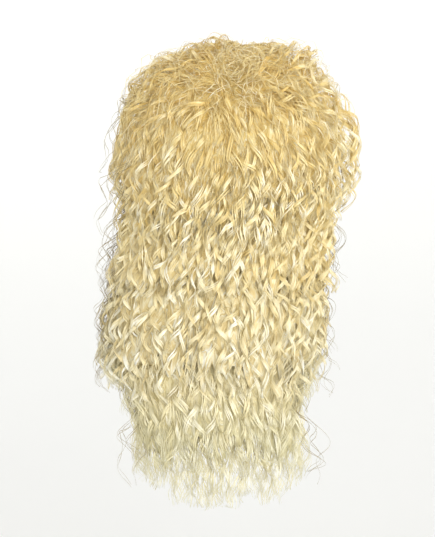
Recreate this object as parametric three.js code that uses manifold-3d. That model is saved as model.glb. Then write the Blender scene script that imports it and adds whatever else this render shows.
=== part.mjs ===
// Curly mullet wig: a net cap with an elastic edge, and wefts of curled hair sewn on in layers.
// Millimetres, +Z up, face opening towards -Y. The origin is the inside of the cap at the top of the head.
//
// A place on the head is a turn and a fall, both in degrees. Turn runs round from the middle of the back,
// positive to the wearer's left (+X), 180 at the face. Fall runs down from the top of the head. At 90 it
// reaches the widest level, and past that the hair hangs and fall counts on at the same pace.
import * as THREE from 'three';
import { LoftGeometry } from 'three/addons/geometries/LoftGeometry.js';
import { mergeVertices } from 'three/addons/utils/BufferGeometryUtils.js';
import Module from 'manifold-3d';

const wasm = await Module();
wasm.setup();

const { degToRad, radToDeg, lerp, smoothstep } = THREE.MathUtils;

// Cap, measured inside
const HEAD_HALF_WIDTH = 78;
const HEAD_HALF_DEPTH = 97;
const HEAD_CROWN = 98;
const CAP_WALL = 2;
const CAP_COLUMNS = 30;
const CAP_ROWS = 12;
const CAP_COLOUR = 0xcbb48a;

// How far down the cap reaches at each turn, the same on both sides
const CAP_EDGE = [
  { turn: 0, fall: 120 },
  { turn: 40, fall: 116 },
  { turn: 70, fall: 103 },
  { turn: 90, fall: 98 },
  { turn: 108, fall: 99 },
  { turn: 126, fall: 76 },
  { turn: 150, fall: 63 },
  { turn: 180, fall: 60 },
];

// Elastic band inside the cap's lowest row
const BAND_THICKNESS = 1.5;
const BAND_COLOUR = 0xa9946f;

// Gaps between sewn pieces, and between one layer of locks and the next
const SEAT_GAP = 0.5;
const LAYER_GAP = 1.4;

// Track that a weft's locks are sewn into
const TRACK_THICKNESS = 2.2;
const TRACK_HALF_FALL = 3;
const TRACK_STEP_TURN = 7.5;

// Inner outline of the hanging hair, by the drop below the widest level. Lean is towards +X.
const HANG = [
  { drop: 0, halfWidth: 80, halfDepth: 99, lean: 0 },
  { drop: 20, halfWidth: 78.4, halfDepth: 97, lean: 0 },
  { drop: 52, halfWidth: 67, halfDepth: 90, lean: 4 },
  { drop: 102, halfWidth: 72, halfDepth: 87, lean: 12 },
  { drop: 142, halfWidth: 84, halfDepth: 87, lean: 16 },
  { drop: 202, halfWidth: 90, halfDepth: 89, lean: 22 },
  { drop: 242, halfWidth: 84, halfDepth: 91, lean: 17 },
  { drop: 292, halfWidth: 84, halfDepth: 93, lean: 13 },
  { drop: 340, halfWidth: 78, halfDepth: 95, lean: 11 },
];

// Hanging wefts, inner layers first. Tips are below the top of the head, at the weft's middle and its ends.
const WEFTS = [
  { name: 'nape_weft', zone: 'back', from: -50, to: 50, root: 106, locks: 8, spread: 1.26,
    tipMiddle: 428, tipEnd: 392, depth: 11, colour: 0xe0d3ac },
  { name: 'back_low_weft', zone: 'back', from: -84, to: 84, root: 90, locks: 13, spread: 1.02,
    tipMiddle: 388, tipEnd: 338, depth: 11, colour: 0xe0cd9f },
  { name: 'back_mid_weft', zone: 'back', from: -93, to: 93, root: 74, locks: 14, spread: 1.02,
    tipMiddle: 315, tipEnd: 300, depth: 11, colour: 0xdcc592 },
  { name: 'back_high_weft', zone: 'back', from: -99, to: 99, root: 57, locks: 15, spread: 1,
    tipMiddle: 222, tipEnd: 215, depth: 11, colour: 0xd8be86 },
  { name: 'temple_weft_left', zone: 'left', from: 104, to: 139, root: 56, locks: 3, spread: 1,
    tipMiddle: 190, tipEnd: 180, depth: 11, colour: 0xc9b78c },
  { name: 'temple_weft_right', zone: 'right', from: -139, to: -104, root: 56, locks: 3, spread: 1,
    tipMiddle: 190, tipEnd: 180, depth: 11, colour: 0xc9b78c },
  { name: 'fringe_weft', zone: 'front', from: 143, to: 217, root: 40, locks: 7, spread: 1,
    tipMiddle: 104, tipEnd: 116, depth: 11, colour: 0xd2b780 },
];

// Layer build-up: hair lies flat this far above a track and is at its full depth this far below
const COVER_ABOVE = 12;
const COVER_BELOW = 20;
const COVER_PAST_END = 7;
const COVER_FADE = 12;

// Locks
const LOCK_STEP = 17;
const LOCK_FILL = 0.92;
const LOCK_ROOT_DEPTH = 1.6;
const LOCK_RISE = 0.5;
const TIP_SHARE = 0.3;
const TIP_WIDTH = 0.24;
const TIP_DEPTH = 0.2;
const WAVE_LENGTH = 78;
const WAVE_SIDE = 4;
const WAVE_DEPTH = 0.22;
const WAVE_STEP = 0.55;
const TIP_SCATTER = 22;

// Crown piece, round the whorl
const CROWN_NAME = 'crown_weft';
const CROWN_COLOUR = 0xd7b878;
const WHORL_FALL = 42;
const DISC_RADIUS = 9;
const DISC_THICKNESS = 2.6;
const DISC_COLUMNS = 18;
const CROWN_LOCKS = 20;
const CROWN_ROOT_RADIUS = 5;
const CROWN_ROOT_DEPTH = 4;
const CROWN_FULL_RADIUS = 30;
const CROWN_LEAST_DEPTH = 9;
const CROWN_HALF_WIDTH = 8.2;
const CROWN_LENGTH_BACK = 92;
const CROWN_LENGTH_FRONT = 128;
const CROWN_STEP = 9.5;
const HANG_STARTS = 55;
const HANG_ENDS = 95;

// How far the crown's hair stands off the cap, by fall, and the share of that at each turn
const CROWN_STAND = [
  { fall: 0, lift: 18 },
  { fall: 25, lift: 27 },
  { fall: 45, lift: 37 },
  { fall: 65, lift: 40 },
  { fall: 180, lift: 40 },
];
const CROWN_SHARE = [
  { turn: 0, share: 0.55 },
  { turn: 40, share: 0.7 },
  { turn: 85, share: 1 },
  { turn: 110, share: 1 },
  { turn: 150, share: 0.72 },
  { turn: 180, share: 0.68 },
];

// Tufts of the crown that stand higher than the rest, each round over a radius in degrees
const CROWN_TUFTS = [
  { turn: -90, fall: 38, radius: 14, height: 10 },
  { turn: -92, fall: 78, radius: 18, height: 11 },
  { turn: 90, fall: 52, radius: 12, height: 5 },
  { turn: 60, fall: 9, radius: 9, height: 6 },
];

const HAIR_ROUGHNESS = 0.45;
const CLOTH_ROUGHNESS = 0.85;

const CAP_HALF_WIDTH = HEAD_HALF_WIDTH + CAP_WALL;
const CAP_HALF_DEPTH = HEAD_HALF_DEPTH + CAP_WALL;
const CAP_CROWN = HEAD_CROWN + CAP_WALL;
const FULL_TURN = 360;
const LEVEL_FALL = 90;
const GOLDEN = 0.618034;

// One column of a table, read between its rows
function readTable(rows, key, at, column) {
  const last = rows.length - 1;
  const next = rows.findIndex((row) => row[key] >= at);
  if (next === 0) return rows[0][column];
  if (next < 0) return rows[last][column];
  const low = rows[next - 1];
  const high = rows[next];
  return lerp(low[column], high[column], (at - low[key]) / (high[key] - low[key]));
}

// A point this far outside the cap's outer face, or inside it where lift is negative
function drape({ turn, fall }, lift) {
  const round = degToRad(turn);
  if (fall <= LEVEL_FALL) {
    const down = degToRad(fall);
    return new THREE.Vector3(
      (CAP_HALF_WIDTH + lift) * Math.sin(down) * Math.sin(round),
      (CAP_HALF_DEPTH + lift) * Math.sin(down) * Math.cos(round),
      (CAP_CROWN + lift) * Math.cos(down) - HEAD_CROWN,
    );
  }
  const drop = CAP_CROWN * degToRad(fall - LEVEL_FALL);
  const [halfWidth, halfDepth, lean] = ['halfWidth', 'halfDepth', 'lean'].map(
    (column) => readTable(HANG, 'drop', drop, column),
  );
  return new THREE.Vector3(
    (halfWidth + lift) * Math.sin(round) + lean,
    (halfDepth + lift) * Math.cos(round),
    -HEAD_CROWN - drop,
  );
}

// The fall of a tip that hangs this far below the top of the head
function fallOfTip(below) {
  return LEVEL_FALL + radToDeg((below - HEAD_CROWN) / CAP_CROWN);
}

// The same turn, between -180 and 180 of the weft's middle
function turnFrom(middle, turn) {
  return turn - middle - FULL_TURN * Math.round((turn - middle) / FULL_TURN);
}

// A repeatable value between -0.5 and 0.5 for one of a row of locks
function scatter(index) {
  return ((index + 1) * GOLDEN) % 1 - 0.5;
}

// The share of its full depth that a weft has at a place
function cover(weft, { turn, fall }) {
  const middle = (weft.from + weft.to) / 2;
  const reach = weft.spread * (weft.to - weft.from) / 2 + COVER_PAST_END;
  const beside = 1 - smoothstep(Math.abs(turnFrom(middle, turn)), reach, reach + COVER_FADE);
  return beside * smoothstep(fall, weft.root - COVER_ABOVE, weft.root + COVER_BELOW);
}

// How far the layers underneath lift the hair off the cap at a place
function liftOver(layers, place) {
  return layers.reduce((lift, weft) => lift + (weft.depth + LAYER_GAP) * cover(weft, place), SEAT_GAP);
}

// A solid from a closed loft. Triangles that close up at a pole are left out.
function solidFrom(loft) {
  const bare = new THREE.BufferGeometry();
  bare.setAttribute('position', loft.getAttribute('position'));
  bare.setIndex(loft.getIndex());
  const merged = mergeVertices(bare);
  const corners = Array.from(merged.index.array);
  const triVerts = [];
  for (let at = 0; at < corners.length; at += 3) {
    const triangle = corners.slice(at, at + 3);
    if (new Set(triangle).size === triangle.length) triVerts.push(...triangle);
  }
  return new wasm.Manifold(new wasm.Mesh({
    numProp: 3,
    vertProperties: new Float32Array(merged.attributes.position.array),
    triVerts: new Uint32Array(triVerts),
  }));
}

// A named piece from a solid
function pieceFrom(name, solid, color, roughness) {
  const { vertProperties, triVerts } = solid.getMesh();
  const geometry = new THREE.BufferGeometry();
  geometry.setAttribute('position', new THREE.BufferAttribute(vertProperties, 3));
  geometry.setIndex(new THREE.BufferAttribute(triVerts, 1));
  geometry.computeVertexNormals();
  const piece = new THREE.Mesh(geometry, new THREE.MeshStandardMaterial({ color, roughness, metalness: 0 }));
  piece.name = name;
  return piece;
}

// Evenly spaced values from first to last
function spaced(first, last, steps) {
  return Array.from({ length: steps + 1 }, (_, step) => lerp(first, last, step / steps));
}

// Turns all the way round, once each
function turnsRound(columns) {
  return spaced(0, FULL_TURN, columns).slice(0, -1);
}

// How far down the cap reaches at a turn
function edgeFall(turn) {
  return readTable(CAP_EDGE, 'turn', Math.abs(turnFrom(0, turn)), 'fall');
}

// Net cap: rings down the outside from the top, then back up the inside
function makeCap() {
  const ring = (share, lift) => turnsRound(CAP_COLUMNS).map((turn) => {
    const fall = edgeFall(turn) * share;
    return drape({ turn, fall }, lift);
  });
  const shares = spaced(0, 1, CAP_ROWS);
  const outside = shares.map((share) => ring(share, 0));
  const inside = shares.map((share) => ring(share, -CAP_WALL)).reverse();
  const shell = new LoftGeometry([...outside, ...inside]);
  return pieceFrom('cap', solidFrom(shell), CAP_COLOUR, CLOTH_ROUGHNESS);
}

// Elastic band: one closed ring lying against the inside of the cap's edge
function makeEdgeBand() {
  const outer = -CAP_WALL - SEAT_GAP;
  const inner = outer - BAND_THICKNESS;
  const section = (turn) => {
    const low = { turn, fall: edgeFall(turn) };
    const high = { turn, fall: edgeFall(turn) * (1 - 1 / CAP_ROWS) };
    return [drape(high, inner), drape(low, inner), drape(low, outer), drape(high, outer)];
  };
  const ring = new LoftGeometry([...turnsRound(CAP_COLUMNS), 0].map(section));
  return pieceFrom('edge_band', solidFrom(ring), BAND_COLOUR, CLOTH_ROUGHNESS);
}

// Width and depth of a lock at a share of its length, as shares of the full ones
function lockTaper(share) {
  const tip = smoothstep(share, 1 - TIP_SHARE, 1);
  return { width: lerp(1, TIP_WIDTH, tip), depth: lerp(1, TIP_DEPTH, tip) };
}

// The wave of a lock this far along it: a swing to the side in degrees, and the share of depth it keeps
function lockWave(along, index, strength) {
  const phase = 2 * Math.PI * along / WAVE_LENGTH + index * WAVE_STEP;
  return {
    swing: strength * radToDeg(WAVE_SIDE / CAP_CROWN) * Math.sin(phase),
    keep: 1 - strength * WAVE_DEPTH * Math.cos(phase / 2) ** 2,
  };
}

// A lock with a flat inner face and a ridge outside, lofted down its stations
function lockSolid(stations, layers) {
  const sections = stations.map(({ left, middle, right, span, depth }) => {
    const rise = LOCK_RISE + CAP_HALF_DEPTH * (1 - Math.cos(degToRad(span)));
    const ridge = drape(middle, liftOver(layers, middle) + LOCK_RISE + depth);
    return [drape(left, liftOver(layers, left) + rise), ridge, drape(right, liftOver(layers, right) + rise)];
  });
  return solidFrom(new LoftGeometry(sections, { capStart: true, capEnd: true }));
}

// The depth of a weft's lock: thin at its track, full further down
function hangingDepth(weft, place) {
  return Math.max(LOCK_ROOT_DEPTH, (weft.depth + LAYER_GAP) * cover(weft, place) - LAYER_GAP - LOCK_RISE);
}

// The stations of one hanging lock, from its track to its tip
function hangingStations(weft, index) {
  const middle = (weft.from + weft.to) / 2;
  const half = (weft.to - weft.from) / 2;
  const cell = half / weft.locks;
  const offset = (2 * index + 1) * cell - half;
  const outwards = Math.abs(offset) / half;
  const below = lerp(weft.tipMiddle, weft.tipEnd, outwards ** 2) + TIP_SCATTER * scatter(index);
  const tip = fallOfTip(below);
  const length = CAP_CROWN * degToRad(tip - weft.root);
  return spaced(0, 1, Math.round(length / LOCK_STEP)).map((share) => {
    const fall = lerp(weft.root, tip, share);
    const taper = lockTaper(share);
    const wave = lockWave(share * length, index, Math.sqrt(share));
    const turn = middle + offset * lerp(1, weft.spread, share) + wave.swing;
    const span = LOCK_FILL * taper.width * cell;
    return {
      left: { turn: turn - span, fall },
      middle: { turn, fall },
      right: { turn: turn + span, fall },
      span,
      depth: hangingDepth(weft, { turn, fall }) * taper.depth * wave.keep,
    };
  });
}

// Track strip of a hanging weft, sewn flat on the cap
function trackSolid(weft) {
  const section = (turn) => {
    const high = { turn, fall: weft.root - TRACK_HALF_FALL };
    const low = { turn, fall: weft.root + TRACK_HALF_FALL };
    const outer = SEAT_GAP + TRACK_THICKNESS;
    return [drape(high, SEAT_GAP), drape(low, SEAT_GAP), drape(low, outer), drape(high, outer)];
  };
  const steps = Math.round((weft.to - weft.from) / TRACK_STEP_TURN);
  const sections = spaced(weft.from, weft.to, steps).map(section);
  return solidFrom(new LoftGeometry(sections, { capStart: true, capEnd: true }));
}

// A hanging weft: its track with all its locks
function makeHangingWeft(weft) {
  const under = WEFTS.slice(0, WEFTS.indexOf(weft)).filter(({ zone }) => zone === weft.zone);
  let solid = trackSolid(weft);
  for (let index = 0; index < weft.locks; index += 1) {
    solid = solid.add(lockSolid(hangingStations(weft, index), under));
  }
  return pieceFrom(weft.name, solid, weft.colour, HAIR_ROUGHNESS);
}

// The unit vector that points to a place on the head
function directionOf({ turn, fall }) {
  const round = degToRad(turn);
  const down = degToRad(fall);
  return new THREE.Vector3(Math.sin(down) * Math.sin(round), Math.sin(down) * Math.cos(round), Math.cos(down));
}

// The place on the head that a unit vector points to
function placeOf(direction) {
  return {
    turn: radToDeg(Math.atan2(direction.x, direction.y)),
    fall: radToDeg(Math.acos(direction.z)),
  };
}

// A unit vector turned towards a tangent by an angle in degrees
function stepped(direction, tangent, angle) {
  const step = degToRad(angle);
  const turned = direction.clone().multiplyScalar(Math.cos(step)).addScaledVector(tangent, Math.sin(step));
  return turned.normalize();
}

const UP = new THREE.Vector3(0, 0, 1);
const LEFT = new THREE.Vector3(1, 0, 0);
const WHORL = directionOf({ turn: 0, fall: WHORL_FALL });
const WHORL_DOWN = new THREE.Vector3().crossVectors(LEFT, WHORL).negate();

// The direction that leaves the whorl at a heading, 0 down the back and 90 to the wearer's left
function headingFrom(heading) {
  const angle = degToRad(heading);
  return WHORL_DOWN.clone().multiplyScalar(Math.cos(angle)).addScaledVector(LEFT, Math.sin(angle));
}

// The part of a vector that lies along the head at a direction
function alongHead(vector, direction) {
  return vector.clone().addScaledVector(direction, -vector.dot(direction)).normalize();
}

// How much higher than the rest of the crown its tufts stand at a place
function tuftLift(place) {
  const here = directionOf(place);
  return CROWN_TUFTS.reduce((lift, tuft) => {
    const away = radToDeg(here.angleTo(directionOf(tuft)));
    return lift + tuft.height * Math.exp(-((away / tuft.radius) ** 2));
  }, 0);
}

// The depth of a crown lock: what fills the crown's outer form above the layers underneath
function crownDepth(place) {
  const side = Math.abs(turnFrom(0, place.turn));
  const share = readTable(CROWN_SHARE, 'turn', side, 'share');
  const lift = readTable(CROWN_STAND, 'fall', place.fall, 'lift');
  const stand = lift * lerp(1, share, smoothstep(place.fall, 0, HANG_STARTS)) + tuftLift(place);
  return Math.max(CROWN_LEAST_DEPTH, stand - liftOver(WEFTS, place));
}

// The stations of one crown lock: away from the whorl over the head, then turning to hang straight down
function crownStations(index) {
  const heading = index * FULL_TURN / CROWN_LOCKS;
  const forwards = (1 - Math.cos(degToRad(heading))) / 2;
  const length = lerp(CROWN_LENGTH_BACK, CROWN_LENGTH_FRONT, forwards) + TIP_SCATTER * scatter(index) / 2;
  const steps = Math.round(length / CROWN_STEP);
  const cell = FULL_TURN / CROWN_LOCKS / 2;
  let direction = stepped(WHORL, headingFrom(heading), CROWN_ROOT_RADIUS);
  return spaced(0, 1, steps).map((share) => {
    const { fall } = placeOf(direction);
    const away = alongHead(WHORL.clone().negate(), direction);
    const down = alongHead(UP.clone().negate(), direction);
    const onward = alongHead(away.lerp(down, smoothstep(fall, HANG_STARTS, HANG_ENDS)), direction);
    const side = new THREE.Vector3().crossVectors(onward, direction);
    const radius = CROWN_ROOT_RADIUS + share * length;
    const taper = lockTaper(share);
    const room = Math.min(CROWN_HALF_WIDTH, cell * Math.abs(Math.sin(degToRad(radius))));
    const span = LOCK_FILL * room * taper.width;
    const wave = lockWave(CAP_CROWN * degToRad(share * length), index, share);
    const centre = stepped(direction, side, wave.swing);
    const full = smoothstep(radius, CROWN_ROOT_RADIUS, CROWN_FULL_RADIUS);
    const depth = lerp(CROWN_ROOT_DEPTH, crownDepth(placeOf(centre)), full);
    const station = {
      left: placeOf(stepped(centre, side, -span)),
      middle: placeOf(centre),
      right: placeOf(stepped(centre, side, span)),
      span,
      depth: depth * taper.depth * wave.keep,
    };
    direction = stepped(direction, onward, length / steps);
    return station;
  });
}

// Disc at the whorl, sewn flat on the cap: rings out over the top, then back across the underside
function discSolid() {
  const ring = (radius, lift) => turnsRound(DISC_COLUMNS).map((heading) => {
    const place = placeOf(stepped(WHORL, headingFrom(heading), radius));
    return drape(place, lift);
  });
  const sections = [
    ring(0, SEAT_GAP + DISC_THICKNESS),
    ring(DISC_RADIUS, SEAT_GAP + DISC_THICKNESS / 2),
    ring(DISC_RADIUS, SEAT_GAP),
    ring(0, SEAT_GAP),
  ];
  return solidFrom(new LoftGeometry(sections));
}

// Crown piece: the disc with its locks leaving in all directions, over every other layer
function makeCrownWeft() {
  let solid = discSolid();
  for (let index = 0; index < CROWN_LOCKS; index += 1) {
    solid = solid.add(lockSolid(crownStations(index), WEFTS));
  }
  return pieceFrom(CROWN_NAME, solid, CROWN_COLOUR, HAIR_ROUGHNESS);
}

const wig = new THREE.Group();
wig.add(makeCap(), makeEdgeBand(), ...WEFTS.map(makeHangingWeft), makeCrownWeft());

export default wig;
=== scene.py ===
"""Curly blond mullet wig: layered wefts of curled fibre on a net cap with an elastic edge.

A place on the head is a turn and a fall, both in degrees. Turn runs round from the middle of the back,
positive towards +X, 180 at the front. Fall runs down from the top. At 90 it reaches the widest level, and
past that the hair hangs and fall counts on at the same pace. Lengths are in metres.
"""
import logging
import math
from dataclasses import dataclass
from enum import Enum
from typing import NamedTuple

import bmesh
import bpy
import numpy as np
from bpy.types import Material, Mesh, Node, NodeSocket, NodeTree, Object
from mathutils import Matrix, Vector


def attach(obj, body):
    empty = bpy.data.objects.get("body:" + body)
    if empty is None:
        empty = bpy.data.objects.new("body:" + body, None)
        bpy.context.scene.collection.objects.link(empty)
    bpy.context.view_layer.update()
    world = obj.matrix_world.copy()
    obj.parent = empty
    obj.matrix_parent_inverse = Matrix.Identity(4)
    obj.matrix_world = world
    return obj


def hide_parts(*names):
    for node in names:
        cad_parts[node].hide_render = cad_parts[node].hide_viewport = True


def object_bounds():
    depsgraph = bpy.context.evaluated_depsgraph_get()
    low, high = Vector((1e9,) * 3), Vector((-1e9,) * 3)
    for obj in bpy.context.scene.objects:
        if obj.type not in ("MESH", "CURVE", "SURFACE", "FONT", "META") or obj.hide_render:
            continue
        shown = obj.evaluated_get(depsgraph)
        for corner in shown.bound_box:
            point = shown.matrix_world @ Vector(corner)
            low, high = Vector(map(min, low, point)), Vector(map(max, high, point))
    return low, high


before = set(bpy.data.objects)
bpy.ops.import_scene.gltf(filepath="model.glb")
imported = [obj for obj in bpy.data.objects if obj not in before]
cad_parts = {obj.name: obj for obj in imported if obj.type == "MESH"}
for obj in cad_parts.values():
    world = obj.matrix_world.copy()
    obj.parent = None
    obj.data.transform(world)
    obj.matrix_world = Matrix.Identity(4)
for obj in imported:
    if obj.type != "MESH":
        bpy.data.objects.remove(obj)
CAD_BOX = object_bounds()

Array = np.ndarray
Colour = tuple[float, float, float, float]

BODY = "root"
LEVEL = 90.0
FULL_TURN = 360.0
HALF_TURN = 180.0
BAKE_MAP = "OFBake"
NET_MAP = "net"
WHITE: Colour = (1.0, 1.0, 1.0, 1.0)
TINT_STOPS = (0.0, 0.35, 0.7, 1.0)

log = logging.getLogger("wig")


class Slot(Enum):
    """The material slots, whose names begin the materials' names."""

    CAP_NET = "cap_net"
    EDGE_ELASTIC = "edge_elastic"
    HAIR_TAIL = "hair_tail"
    HAIR_BACK = "hair_back"
    HAIR_CROWN = "hair_crown"


class Zone(Enum):
    """Where a hanging weft is sewn. Wefts in one zone lie over each other."""

    BACK = "back"
    LEFT = "left"
    RIGHT = "right"
    FRONT = "front"


class Draw(Enum):
    """What a strand draws at random. The values keep the draws apart."""

    ANGLE = 1
    CURL = 2
    FRIZZ = 3
    TINT = 4


def smoothstep(value: Array, low: float, high: float) -> Array:
    """Eases from 0 at low to 1 at high."""
    share = np.clip((value - low) / (high - low), 0.0, 1.0)
    return share * share * (3.0 - 2.0 * share)


def lerp(low: Array, high: Array, share: Array) -> Array:
    """Mixes low and high by a share from 0 to 1."""
    return low + (high - low) * share


def colour(red: int, green: int, blue: int) -> Colour:
    """A linear colour from the 8-bit values that a screen shows.

    Args:
        red: Red, from 0 to 255.
        green: Green.
        blue: Blue.

    Returns:
        The colour with full cover.
    """
    channels = (channel / 255.0 for channel in (red, green, blue))
    linear = [c / 12.92 if c <= 0.04045 else ((c + 0.055) / 1.055) ** 2.4 for c in channels]
    return (linear[0], linear[1], linear[2], 1.0)


def mesh_object(name: str, mesh: Mesh) -> Object:
    """Puts a mesh in the scene.

    Args:
        name: The object's name.
        mesh: Its mesh.

    Returns:
        The object, which sits at the origin.
    """
    obj = bpy.data.objects.new(name, mesh)
    bpy.context.scene.collection.objects.link(obj)
    return obj


def settle(piece: Object, replaced: str = "") -> Object:
    """Hands a finished piece to the frame.

    Args:
        piece: The piece.
        replaced: The solid that it stands for, if any.

    Returns:
        The piece.
    """
    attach(piece, BODY)
    if replaced:
        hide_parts(replaced)
    return piece


def corner_points(mesh: Mesh) -> Array:
    """The point at each face corner of a mesh.

    Args:
        mesh: The mesh.

    Returns:
        The points' places in the mesh's list.
    """
    corners = np.empty(len(mesh.loops), np.int32)
    mesh.loops.foreach_get("vertex_index", corners)
    return corners


def write_map(mesh: Mesh, name: str, places: Array) -> None:
    """Gives a mesh a map with one place for each face corner."""
    layer = mesh.uv_layers.new(name=name)
    layer.uv.foreach_set("vector", places.ravel().astype(np.float32))


class NodeBuilder:
    """Short calls for building a node tree."""

    def __init__(self, tree: NodeTree) -> None:
        """Starts on a new tree."""
        self.tree = tree

    def add(self, kind: str, inputs: dict | None = None, **settings: object) -> Node:
        """Adds a node.

        Args:
            kind: The node's type name.
            inputs: Values or sockets for its inputs, by name or place.
            **settings: The node's own properties.

        Returns:
            The new node.
        """
        node = self.tree.nodes.new(kind)
        for key, value in settings.items():
            setattr(node, key, value)
        self.feed(node, inputs or {})
        return node

    def feed(self, node: Node, inputs: dict) -> None:
        """Links sockets to a node's inputs, or sets the inputs' own values.

        Args:
            node: The node.
            inputs: Values or sockets, by the input's name or place.
        """
        for key, value in inputs.items():
            if isinstance(value, NodeSocket):
                self.tree.links.new(value, node.inputs[key])
            else:
                node.inputs[key].default_value = value

    def math(self, operation: str, *values: object) -> NodeSocket:
        """The result of a Math node."""
        return self.add("ShaderNodeMath", dict(enumerate(values)), operation=operation).outputs[0]

    def vector(self, operation: str, *values: object) -> NodeSocket:
        """The vector from a Vector Math node."""
        return self.add("ShaderNodeVectorMath", dict(enumerate(values)), operation=operation).outputs[0]

    def scaled(self, vector: object, scale: object) -> NodeSocket:
        """A vector times a number."""
        return self.add("ShaderNodeVectorMath", {0: vector, "Scale": scale}, operation="SCALE").outputs[0]

    def mix(self, share: object, low: object, high: object) -> NodeSocket:
        """A colour between two others, by a share from 0 to 1."""
        return self.add("ShaderNodeMix", {0: share, 6: low, 7: high}, data_type="RGBA").outputs[2]

    def ranged(self, value: object, low: float = 0.0, high: float = 1.0, first: float = 0.0,
               last: float = 1.0) -> NodeSocket:
        """A number moved from the span low to high to the span first to last, and held inside it."""
        return self.add("ShaderNodeMapRange", {0: value, 1: low, 2: high, 3: first, 4: last}).outputs[0]

    def noise(self, place: object, scale: float = 1.0, detail: float = 1.0) -> NodeSocket:
        """The height of a noise at a place."""
        return self.add("ShaderNodeTexNoise", {"Vector": place, "Scale": scale, "Detail": detail}).outputs[0]

    def bump(self, height: object, strength: float, depth: float) -> NodeSocket:
        """The normal of a surface with a fine relief."""
        inputs = {"Strength": strength, "Distance": depth, "Height": height}
        return self.add("ShaderNodeBump", inputs).outputs[0]

    def own_map(self, name: str) -> NodeSocket:
        """The place on a map of the piece's own."""
        return self.add("ShaderNodeUVMap", uv_map=name).outputs[0]

    def split(self, vector: object) -> tuple[NodeSocket, NodeSocket]:
        """The first two parts of a vector."""
        parts = self.add("ShaderNodeSeparateXYZ", {0: vector}).outputs
        return parts[0], parts[1]

    def ramp(self, place: object, tones: tuple[Colour, ...]) -> NodeSocket:
        """A colour read from a ramp of tones.

        Args:
            place: The place on the ramp, from 0 to 1.
            tones: The colours at its stops.

        Returns:
            The colour's socket.
        """
        node = self.add("ShaderNodeValToRGB", {0: place})
        elements = node.color_ramp.elements
        while len(elements) < len(tones):
            elements.new(1.0)
        for element, stop, tone in zip(elements, TINT_STOPS, tones):
            element.position = stop
            element.color = tone
        return node.outputs[0]

    def attribute(self, name: str, kind: str = "FLOAT") -> NodeSocket:
        """A named attribute of the geometry that is being made."""
        return self.add("GeometryNodeInputNamedAttribute", {"Name": name}, data_type=kind).outputs[0]

    def store(self, geometry: object, name: str, value: object, domain: str = "POINT",
              kind: str = "FLOAT") -> NodeSocket:
        """The geometry with a value stored on it under a name."""
        inputs = {"Geometry": geometry, "Name": name, "Value": value}
        return self.add("GeometryNodeStoreNamedAttribute", inputs, data_type=kind, domain=domain).outputs[0]

    def random(self, low: float, high: float, seed: object, draw: Draw) -> NodeSocket:
        """A number for each strand.

        Args:
            low: The least.
            high: The most.
            seed: The weft's seed.
            draw: What is drawn.

        Returns:
            The number's socket.
        """
        identity = self.attribute("strand", "INT")
        place = self.math("ADD", seed, draw.value)
        inputs = {2: low, 3: high, 7: identity, 8: place}
        return self.add("FunctionNodeRandomValue", inputs, data_type="FLOAT").outputs[1]


def geometry_tree(name: str, inputs: dict[str, str]) -> tuple[NodeBuilder, Node]:
    """An empty geometry tree with named inputs.

    Args:
        name: The tree's name.
        inputs: Socket types of the inputs after the geometry, by name.

    Returns:
        The builder and the group input node.
    """
    tree = bpy.data.node_groups.new(name, "GeometryNodeTree")
    tree.interface.new_socket("Geometry", in_out="INPUT", socket_type="NodeSocketGeometry")
    for label, kind in inputs.items():
        tree.interface.new_socket(label, in_out="INPUT", socket_type=kind)
    tree.interface.new_socket("Geometry", in_out="OUTPUT", socket_type="NodeSocketGeometry")
    builder = NodeBuilder(tree)
    return builder, builder.add("NodeGroupInput")


def close_tree(builder: NodeBuilder, geometry: object, material: object) -> None:
    """Ends a geometry tree: realized instances, with the material set.

    Args:
        builder: The tree's builder.
        geometry: The socket of what the tree made.
        material: The material's socket.
    """
    realized = builder.add("GeometryNodeRealizeInstances", {"Geometry": geometry}).outputs[0]
    dressed = builder.add("GeometryNodeSetMaterial", {"Geometry": realized, "Material": material}).outputs[0]
    builder.add("NodeGroupOutput", {0: dressed})


def grown(source: Object, tree: NodeTree, values: dict[str, object], name: str) -> Object:
    """Runs a geometry tree on an object and keeps the result as a plain mesh.

    Args:
        source: The object that holds the guides. It is deleted.
        tree: The geometry tree.
        values: The tree's inputs, by name.
        name: The new object's name.

    Returns:
        The new object.
    """
    modifier = source.modifiers.new("grow", "NODES")
    modifier.node_group = tree
    for item in tree.interface.items_tree:
        if item.in_out == "INPUT" and item.name in values:
            modifier[item.identifier] = values[item.name]
    evaluated = source.evaluated_get(bpy.context.evaluated_depsgraph_get())
    mesh = bpy.data.meshes.new_from_object(evaluated)
    source.modifiers.remove(modifier)
    bpy.data.objects.remove(source)
    mesh.name = name
    return mesh_object(name, mesh)


class HangRow(NamedTuple):
    """The inner outline of the hanging hair at one drop below the widest level. Lean is towards +X."""

    drop: float
    half_width: float
    half_depth: float
    lean: float


class EdgeRow(NamedTuple):
    """How far down the cap reaches at one turn, the same on both sides."""

    turn: float
    fall: float


class StandRow(NamedTuple):
    """How far the crown's hair stands off the cap at one fall."""

    fall: float
    lift: float


class ShareRow(NamedTuple):
    """The share of that stand at one turn."""

    turn: float
    share: float


class TuftRow(NamedTuple):
    """A tuft of the crown that stands off further than the rest, round over a radius in degrees."""

    turn: float
    fall: float
    radius: float
    height: float


def read_table(rows: tuple, at: Array, column: str) -> Array:
    """One column of a table, read between its rows by the first column."""
    return np.interp(at, [row[0] for row in rows], [getattr(row, column) for row in rows])


def direction(turn: Array, fall: Array) -> Array:
    """Unit vectors that point to places on the head."""
    around, down = np.radians(turn), np.radians(fall)
    return np.stack([np.sin(down) * np.sin(around), np.sin(down) * np.cos(around), np.cos(down)], axis=-1)


def turn_from(middle: float, turn: Array) -> Array:
    """The same turn, between -180 and 180 of a middle."""
    return turn - middle - FULL_TURN * np.round((turn - middle) / FULL_TURN)


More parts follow.
